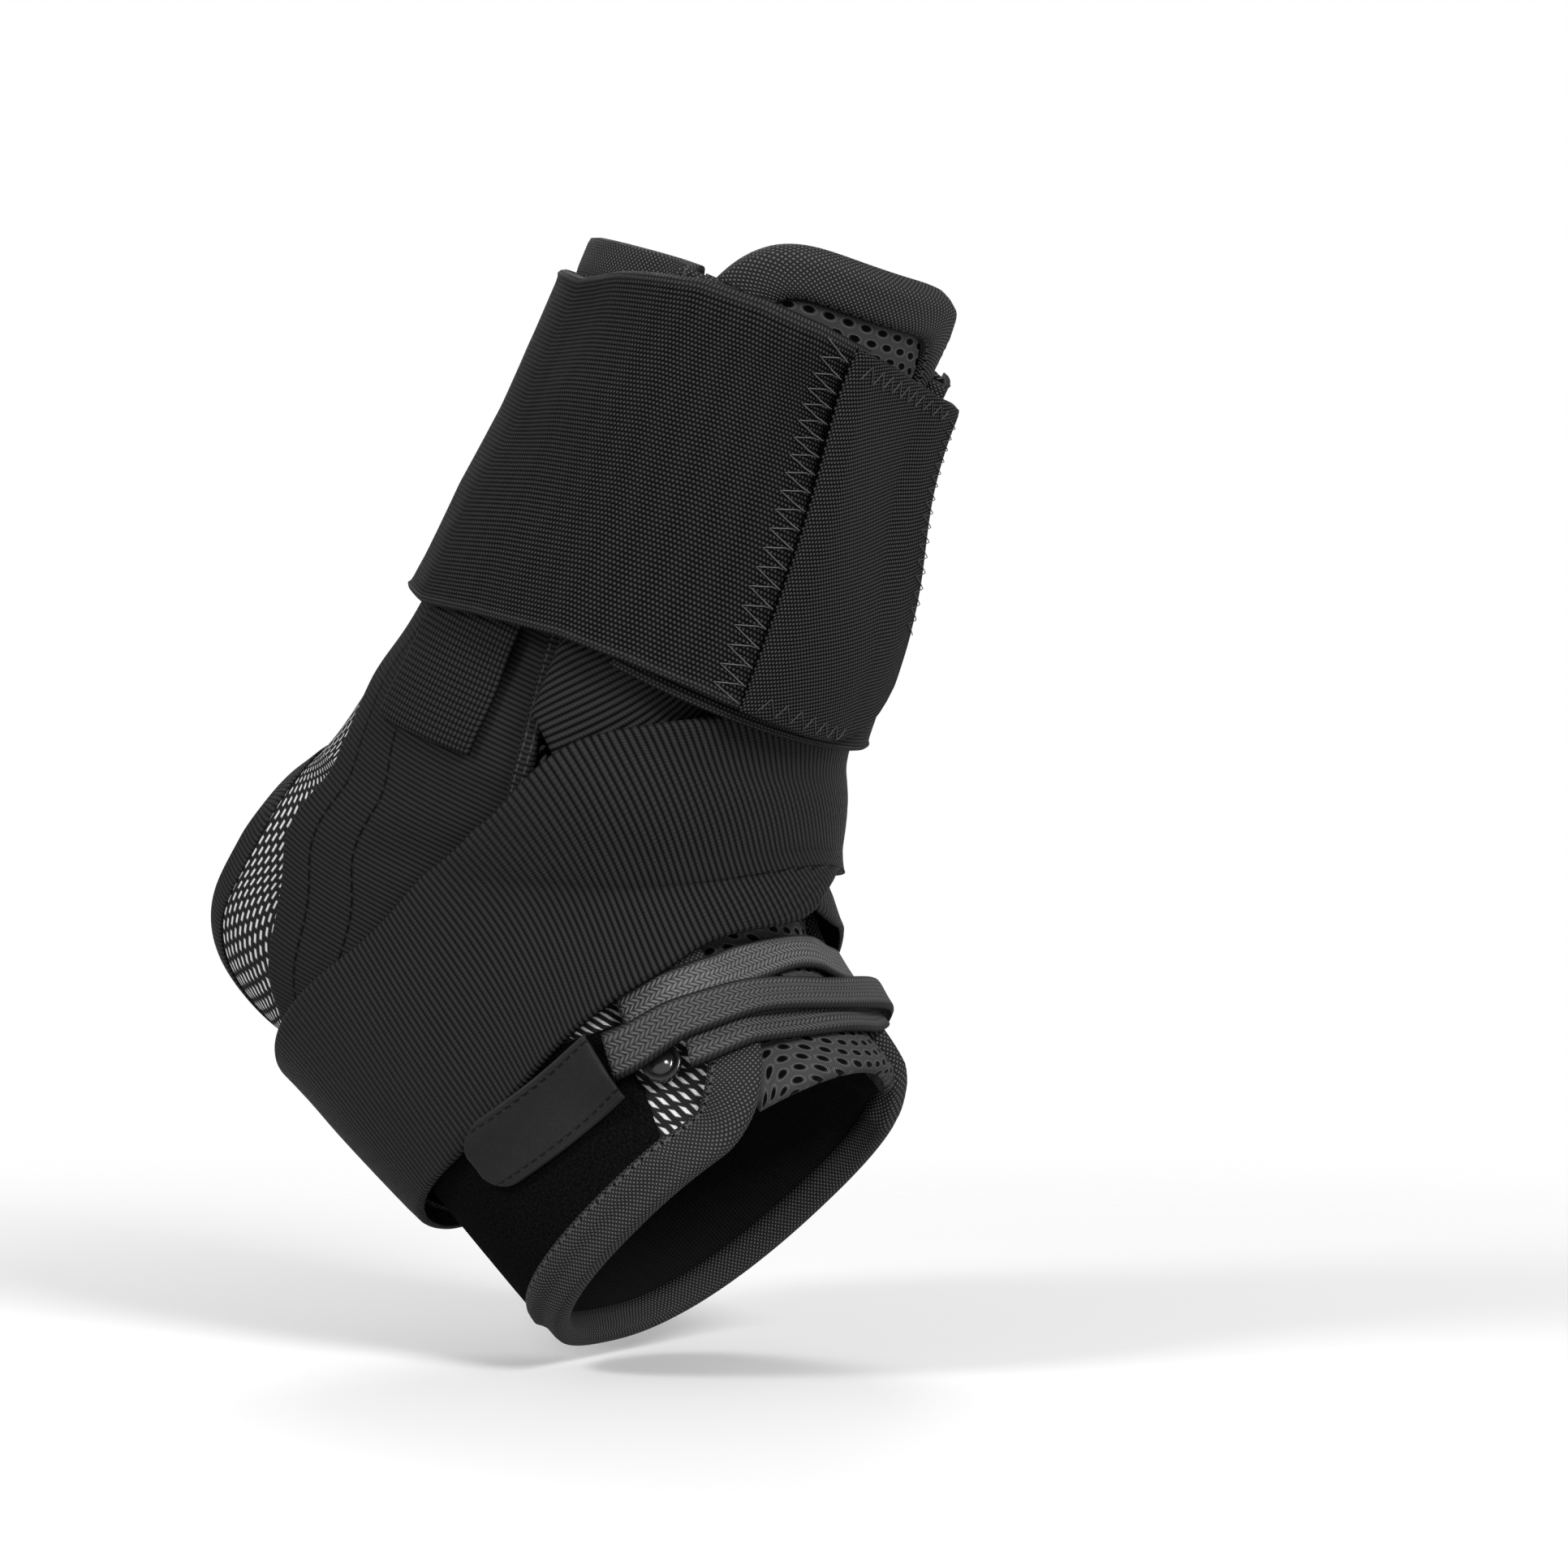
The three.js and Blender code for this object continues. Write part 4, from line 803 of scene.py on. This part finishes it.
def lay_strip(name, centre, width, wall, side, finish, reach=2.2, step=1.6, ripple=0.0, taut=12,
              gap=layer_gap, **shape):
    """Lays a strip of webbing or tape over everything below it, taut enough to span small hollows."""
    station, angle, along, across, rim = strip_places(centre, width, side, step, **shape)
    lift = lift_at(eased(heights, reach), station, angle) + gap
    for _ in range(taut):
        lift[1:-1] = np.maximum(lift[1:-1], (lift[:-2] + lift[2:]) / 2)
        lift[:, 1:-1] = np.maximum(lift[:, 1:-1], (lift[:, :-2] + lift[:, 2:]) / 2)
    lift = lift + ripple * (np.sin(along / 9.1 + across / 17) * np.sin(across / 11 - along / 31) + 1)
    outer, inner = skin(station, angle, lift + wall * rim), skin(station, angle, lift)
    pile_up(heights, station, angle, lift + wall)
    middle = outer[:, outer.shape[1] // 2]
    slope = steady(np.gradient(middle, axis=0), 10)
    woven_along = travelled(middle)[:, None] + ((outer - middle[:, None]) * slope[:, None]).sum(-1)
    return close_sheet(name, [(outer, inner, woven_along, across)], finish)


folded_edge, uv, along, across = start_finish("folded_edge", 0.75, 0.05)
ribs = along.rounds(1.15)
seam = across.maths("ABSOLUTE").band(0.6, 1.0, 0.1) * along.part(2.4).band(0.1, 0.85, 0.06)
# The ribs are painted lighter on their crowns and darker in their grooves, following the bump: painted
# highlight and painted shade; the lighter dashes are the stitches.
end_finish(folded_edge, ribs * ribs * 0.3 + seam * 0.5, 0.0004, 0.04, ribs * 0.6 + seam * 0.8, 0.3)
for side, name in ((1, "far"), (-1, "near")):
    centre = [(station, angle + 2) for station, angle in pocket_front[pocket_front[:, 0] < 6.6][::3]]
    lay_strip(f"panel_edge_{name}", centre, 3.2, 0.9, side, folded_edge, step=0.9, reach=1.0)


# Strap anchors: a length of woven elastic on each side that comes down from under the cuff over the
# stay pocket, and is sewn down at a slant in a short band of brushed loop.
anchor_width = 25
anchor_line = [(2.3, 108), (2.9, 107), (3.5, 104.5), (4.27, 102.5)]
woven_elastic, uv, along, across = start_finish("woven_elastic", 0.72, 0.05)
ribs = along.rounds(1.35)
warp = across.rounds(0.9)
pile_band = along.step(52.5, 0.5)
# Outside the loop band, the ribs and warp are painted lighter on their crowns and darker between, following
# the bump: painted highlight and painted shade.
end_finish(woven_elastic, ribs * warp * warp * 1.1 * (1 - pile_band) + pile_band * grain(uv, 2.5) * 0.35,
           0.0, 0.018, (ribs + warp * 0.4) * (1 - pile_band) + pile_band * grain(uv, 3) * 1.5, 0.4)
for side, name in ((1, "far"), (-1, "near")):
    anchor = lay_strip(f"strap_anchor_{name}", anchor_line, anchor_width, 1.4, side, woven_elastic,
                       end_slant=2.2)
    flat_sheet(anchor, anchor_width)


# The lacing: flat tape woven in a fine herringbone with dark selvedges, drawn across the gap from a
# pull tab on each side. The upper turn goes under the straps, so it is laid before them.
lace_width = 10


def herringbone(name, dark, light):
    material, uv, along, across = start_finish(name, 0.68, 0.056)
    lean = (across.part(2.5) - 0.5).maths("ABSOLUTE") * 2.5
    twill = (along + lean * 1.1).rounds(1.3)
    beads = (across.part(1.25) * 1.25).rounds(1.25)
    edge = across.maths("ABSOLUTE").step(4.1, 0.25)
    # The twill and beads are painted lighter on their crowns and darker between, following the bump: painted
    # highlight and painted shade; the dark selvedges are the tape's own.
    shade = (0.15 + twill * (0.3 + beads * 0.6) + grain(uv, 0.5) * 0.1) * (1 - edge * 0.8)
    return end_finish(material, shade, dark, light, (twill + beads * 0.4) * (1 - edge * 0.6), 0.45)


# Two copies of one tape: the upper turn's is painted lighter as painted light on it, the lower turns' darker
# as painted shade.
lit_upper_tape = herringbone("lit_upper_tape", 0.0003, 0.1)
shaded_lacing_tape = herringbone("shaded_lacing_tape", 0.0002, 0.06)
lace_lines = {
    "lace_upper": [(8.5, -58), (8.44, -36), (8.26, -22), (8.1, -6), (8.15, 8), (8.35, 24), (8.5, 50)],
    "lace_lower": [(9.18, -50), (9.22, -44), (9.27, -24), (9.33, -8), (9.35, 8), (9.3, 24), (9.15, 40),
                   (8.95, 54), (8.88, 66)],
    "lace_middle": [(8.86, -66), (8.9, -59), (8.89, -49), (8.92, -40), (8.95, -29), (9, -17), (9.08, -1),
                    (9.1, 15), (9.1, 52)],
}


def lay_lace(name, finish):
    lace = lay_strip(name, lace_lines[name], lace_width, 1.2, 1, finish, reach=2.0, step=1.0, taut=40)
    flat_sheet(lace, lace_width)


lay_lace("lace_upper", lit_upper_tape)


# Ankle straps: two heavy ribbed webbings crossed in a figure of eight. Each is sewn on under the
# sole, comes up one side, crosses the instep and is pressed down under the cuff.
strap_width = 51
strap_line = [(8.15, -206), (8.25, -190), (8.3, -160), (8.15, -130), (7.9, -98), (7.4, -74), (6.6, -56),
              (5.4, -43), (4.5, -28), (3.85, -8), (3.4, 12), (3.05, 33), (2.66, 54), (2.35, 72), (2.12, 86),
              (1.93, 101)]
ribbed_webbing, uv, along, across = start_finish("ribbed_webbing", 0.6, 0.056)
ribs = along.rounds(1.45)
picks = across.wave(0.75)
# The ribs are painted lighter on their crowns and darker in their grooves, following the bump: painted
# highlight and painted shade.
end_finish(ribbed_webbing, ribs * ribs * (0.75 + picks * 0.25) + grain(uv, 0.12) * 0.1, 0.0, 0.0155,
           ribs + picks * 0.12, 0.6)
for side, name in ((-1, "far"), (1, "near")):
    strap = lay_strip(f"ankle_strap_{name}", strap_line, strap_width, 1.5, side, ribbed_webbing, reach=9.0,
                      step=1.5, ripple=0.15, taut=60, gap=1.2, end_slant=24)
    flat_sheet(strap, strap_width)


# Lace studs: glossy black moulded domes, one beside each lacing edge, pressed through the boot. A
# groove runs round each dome inside its low collar, and the lace turns round it.
glossy = bpy.data.materials.new("glossy_stud")
glossy.use_nodes = True
stud_shader = glossy.node_tree.nodes["Principled BSDF"]
scratches = grain(Worked(glossy.node_tree, None).node("ShaderNodeTexCoord", output="Object"), 700, 4)
(scratches * 0.15 + 0.1).into(stud_shader, "Roughness")
tinted(scratches, 0.004, 0.012).into(stud_shader, "Base Color")
stud_place, stud_radius, stud_height = (9.15, 56.5), 4.2, 2.4
for side, name in ((1, "far"), (-1, "near")):
    station, angle = np.array([stud_place[0]]), np.array([side * stud_place[1]])
    point, _, _, out = surface(station, angle)
    lift = float(lift_at(eased(heights, 2.0), station, angle)[0]) + 0.2
    spot = Vector(to_metres(point + out * lift)[0])
    up = Vector(to_metres(out)[0]).normalized()
    bpy.ops.object.select_all(action="DESELECT")
    bpy.ops.mesh.primitive_cylinder_add(vertices=48, radius=stud_radius / 1000, depth=stud_height / 1000,
                                        location=spot + up * stud_height / 2000,
                                        rotation=up.to_track_quat("Z", "Y").to_euler())
    stud = bpy.context.object
    stud.name = f"stud_{name}"
    bpy.ops.object.transform_apply(location=True, rotation=True, scale=True)
    bm = bmesh.new()
    bm.from_mesh(stud.data)
    lid = max(bm.faces, key=lambda face: face.calc_center_median().dot(up) if len(face.verts) > 4 else -9)
    rings = ((0.0, 0.0009), (-0.0007, 0.0004), (0.0, 0.0006), (0.0006, 0.0008), (0.0003, 0.0009))
    for depth, inset in rings:
        bmesh.ops.inset_region(bm, faces=[lid], thickness=inset, depth=0)
        bmesh.ops.translate(bm, verts=lid.verts, vec=up * depth)
    bm.to_mesh(stud.data)
    bm.free()
    bevel = stud.modifiers.new("bevel", "BEVEL")
    bevel.width, bevel.segments, bevel.limit_method = 0.0003, 3, "ANGLE"
    bpy.ops.object.modifier_apply(modifier="bevel")
    bpy.ops.object.shade_smooth_by_angle(angle=math.radians(50))
    stud.data.materials.append(glossy)
    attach(stud, "root")
    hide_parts(f"eyelet_{name}")
    around_s, around_a = np.meshgrid(np.linspace(-0.14, 0.14, 5), np.linspace(-5, 5, 5), indexing="ij")
    pile_up(heights, station + around_s, angle + around_a, np.full((5, 5), lift + stud_height * 0.8))


# The lower turns of the lacing lie over the studs and the straps' lower edges: the same tape as
# above, one under the other, in a copy of its material painted darker as shade.
lay_lace("lace_lower", shaded_lacing_tape)
lay_lace("lace_middle", shaded_lacing_tape)


# Pull tabs: tongues of smooth hide-like sheet, stitched along both edges and sewn to the lacing's
# ends. Hooks behind each press on the loop panel.
smooth_hide, uv, along, across = start_finish("smooth_hide", 0.55, 0.066)
pores = uv.node("ShaderNodeTexVoronoi", None, {"Vector": uv, "Scale": 2.2})
row_line = across.maths("ABSOLUTE").band(5.6, 6.1, 0.1)
sewn = row_line * along.part(2.6).band(0.15, 0.75, 0.06)
# A painted highlight: the tab's rounded rim painted lighter.
hide_rim_highlight = across.maths("ABSOLUTE").step(6.9, 0.15)
end_finish(smooth_hide, 0.3 + grain(uv, 1.6) * 0.5 + grain(uv, 0.35) * 0.2 + hide_rim_highlight * 0.5 - sewn * 0.5,
           0.001, 0.015, sewn + pores * 0.15 - row_line * 0.6, 0.25)
pull_tab_width = 15
pull_tab_line = [(8.95, 67), (9.0, 79), (9.03, 90), (9.03, 101), (9.0, 113)]


def tab_tip(along, length):
    left = np.clip((length - along) / 7.5, 0.02, 1)
    return np.sqrt(1 - (1 - left) ** 2)


for side, name in ((1, "far"), (-1, "near")):
    lay_strip(f"pull_tab_{name}", pull_tab_line, pull_tab_width, 1.4, side, smooth_hide, reach=2.0, step=1.0,
              tip=tab_tip)


# The cuff: wide woven elastic wound once and a quarter round the shaft over the upper ends of the
# straps, its edges woven as narrow welts. Its end is sewn to the closing tab.
cuff_top, cuff_width, cuff_wall, cuff_gap, cuff_radius = 130, 78, 1.4, layer_gap + 0.6, 41
cuff_route = [(-62, 1.03), (0, 0.99), (45, 0.955), (90, 0.93), (180, 0.915), (238, 0.95), (259, 0.995),
              (285, 1.04), (301, 1.05), (317, 1.047), (337, 1.03), (360, 1.0), (378, 0.975)]
cuff_start, cuff_seam = -62, 334
degree = math.radians(1) * cuff_radius


def cuff_place(turn, drop):
    return (shaft_height - follow(cuff_route, turn) * cuff_top + drop) / shaft_step, turn


elastic_weave, uv, along, across = start_finish("elastic_weave", 0.68, 0.05)
row = (across / 0.95).maths("FLOOR")
beads = across.rounds(0.95) * (along + row.part(2) * 0.68).rounds(0.68)
# A painted highlight: the raised welts along both edges painted lighter.
welt_highlight = 1 - across.band(2.0, cuff_width - 2.0, 0.2)
columns = along.wave(5.1) * 0.08
# The beads are painted lighter on their crowns and darker between, following the bump: painted highlight and
# painted shade.
end_finish(elastic_weave, beads * beads * beads * 1.15 + columns * 0.5 + welt_highlight * 0.3, 0.0, 0.031,
           beads, 0.6)
turn, drop = np.meshgrid(np.linspace(cuff_start, cuff_seam, 200), knots(cuff_width, 1.5, 2.2) * cuff_width,
                         indexing="ij")
station, angle = cuff_place(turn, drop)
welt = 0.45 * np.exp(-(((np.minimum(drop, cuff_width - drop) - 1.3) / 0.7) ** 2))
sway = 0.2 * np.sin(turn / 14 + drop / 21) * np.sin(drop / 13)
lift_under = lift_at(eased(heights, 6.0), station, angle) + cuff_gap
over_map, first_lap = heights.copy(), turn[:, 0] < 90
pile_up(over_map, station[first_lap], angle[first_lap], (lift_under + cuff_wall)[first_lap])
lift_over = lift_at(eased(over_map, 6.0), station, angle) + cuff_gap
share = np.clip((turn - 120) / 100, 0, 1)
lift = lift_under * (1 - share) + lift_over * share + sway + 0.2
end_rim = rounded(np.minimum(turn - cuff_start, cuff_seam - turn) * degree)
side_rim = rounded(np.minimum(drop, cuff_width - drop), 1.0)
outer = skin(station, angle, lift + cuff_wall * end_rim * side_rim + welt * side_rim)
inner = skin(station, angle, lift)
pile_up(heights, station, angle, lift + cuff_wall)
cuff_along = np.repeat(((turn - cuff_start) * degree)[:, :1], drop.shape[1], 1)
cuff = close_sheet("cuff", [(outer, inner, cuff_along, drop)], elastic_weave)
flat_sheet(cuff, cuff_width)


# The closing tab: a finely knitted tab with a rounded lower corner, sewn to the cuff's end and
# pressed down on the cuff with hooks. Its face is left bare.
tab_start, tab_end, tab_corner = 326, 376, 24
knit_tab, uv, along, across = start_finish("knit_tab", 0.7, 0.05)
row = ((across + along * 0.4) / 0.85).maths("FLOOR")
knit = (across + along * 0.4).rounds(0.85) * (along + row.part(2) * 0.75).rounds(0.75)
# The knit's loops are painted lighter on their crowns and darker between, following the bump: painted
# highlight and painted shade.
end_finish(knit_tab, knit * knit * knit * 1.2, 0.0, 0.04, knit, 0.5)
tab_under = eased(heights, 5.0)
tab_length = (tab_end - tab_start) * degree
left, t = np.meshgrid(knots(tab_length, 1.5)[::-1], knots(cuff_width, 1.5), indexing="ij")
reach = np.maximum(0, tab_corner - left * tab_length)
tab_drop = cuff_width - tab_corner + np.sqrt(np.maximum(0, tab_corner**2 - reach**2))
station, angle = cuff_place(tab_end - (tab_end - tab_start) * left, t * tab_drop)
lift = lift_at(tab_under, station, angle) + 0.8
rim = rounded(np.minimum(np.minimum(left, 1 - left) * tab_length, np.minimum(t, 1 - t) * cuff_width))
cuff_tab = lay_sheet("cuff_tab", station, angle, lift, 1.8, rim, knit_tab)
flat_sheet(cuff_tab, cuff_width, 0.9)


# The seams of the cuff: zigzag stitching in grey thread, which joins the cuff to its tab, and in dark
# thread along the tab's edges. Each stitch is a round thread that lies on the cloth.
def surface_thread(name, paths, radius, finish):
    """Sewing thread as thin round stitches along paths of places: station, angle and lift."""
    vertices, faces = [], []
    sides = 5
    for path in paths:
        points = to_metres(skin(path[:, 0], path[:, 1], path[:, 2]))
        normals = unit(to_metres(surface(path[:, 0], path[:, 1])[3]))
        heading = unit(np.gradient(points, axis=0))
        sideways = unit(np.cross(normals, heading))
        first = len(vertices)
        for k, point in enumerate(points):
            for corner in range(sides):
                turned = 2 * math.pi * corner / sides
                aside = math.cos(turned) * sideways[k] + math.sin(turned) * normals[k]
                vertices.append(point + radius / 1000 * aside)
        for k in range(len(points) - 1):
            for corner in range(sides):
                a, b = first + k * sides + corner, first + k * sides + (corner + 1) % sides
                faces.append((a, b, b + sides, a + sides))
        faces.append(tuple(first + c for c in range(sides))[::-1])
        faces.append(tuple(first + (len(points) - 1) * sides + c for c in range(sides)))
    mesh = bpy.data.meshes.new(name)
    mesh.from_pydata([tuple(v) for v in vertices], [], faces)
    mesh.materials.append(finish)
    bm = bmesh.new()
    bm.from_mesh(mesh)
    bmesh.ops.recalc_face_normals(bm, faces=bm.faces)
    bm.to_mesh(mesh)
    bm.free()
    mesh.shade_smooth()
    thread = bpy.data.objects.new(name, mesh)
    bpy.context.collection.objects.link(thread)
    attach(thread, "root")


def thread_finish(name, shade):
    material = bpy.data.materials.new(name)
    material.use_nodes = True
    shader = material.node_tree.nodes["Principled BSDF"]
    shader.inputs["Roughness"].default_value = 0.6
    place = Worked(material.node_tree, None).node("ShaderNodeTexCoord", output="Object")
    tinted(grain(place, 900), shade * 0.6, shade * 1.3).into(shader, "Base Color")
    return material


grey_thread = thread_finish("grey_thread", 0.035)
dark_thread = thread_finish("dark_thread", 0.012)


def zigzag(turn_from, turn_to, drop_from, drop_to, amplitude, pitch, lift):
    """A zigzag line on the cuff or its tab, from one place to another."""
    run = math.hypot((turn_to - turn_from) * degree, drop_to - drop_from)
    corners = round(2 * run / pitch)
    t = np.linspace(0, 1, corners + 1)
    swing = amplitude / 2 * (-1.0) ** np.arange(corners + 1)
    dx, dy = (turn_to - turn_from) * degree / run, (drop_to - drop_from) / run
    turns = turn_from + (turn_to - turn_from) * t - dy * swing / degree
    drops = drop_from + (drop_to - drop_from) * t + dx * swing
    spots = np.linspace(0, corners, corners * 5 + 1)
    turns, drops = (np.interp(spots, np.arange(corners + 1), line) for line in (turns, drops))
    s, a = cuff_place(turns, drops)
    return np.stack([s, a, lift_at(heights, s, a) + lift], -1)


end_seam = zigzag(322.2, 322.2, 1.5, cuff_width - 1.5, 4.4, 3.8, 0.12)
top_seam = zigzag(329, 368, 3.4, 3.4, 3.6, 3.0, 0.1)
lower_seam = zigzag(329, 356, 74.5, 74.5, 3.6, 3.0, 0.1)
tip_seam = zigzag(373, 373, 4, 50, 3.6, 3.0, 0.1)
surface_thread("cuff_zigzag", [end_seam], 0.16, grey_thread)
surface_thread("tab_zigzag", [top_seam, lower_seam, tip_seam], 0.12, dark_thread)
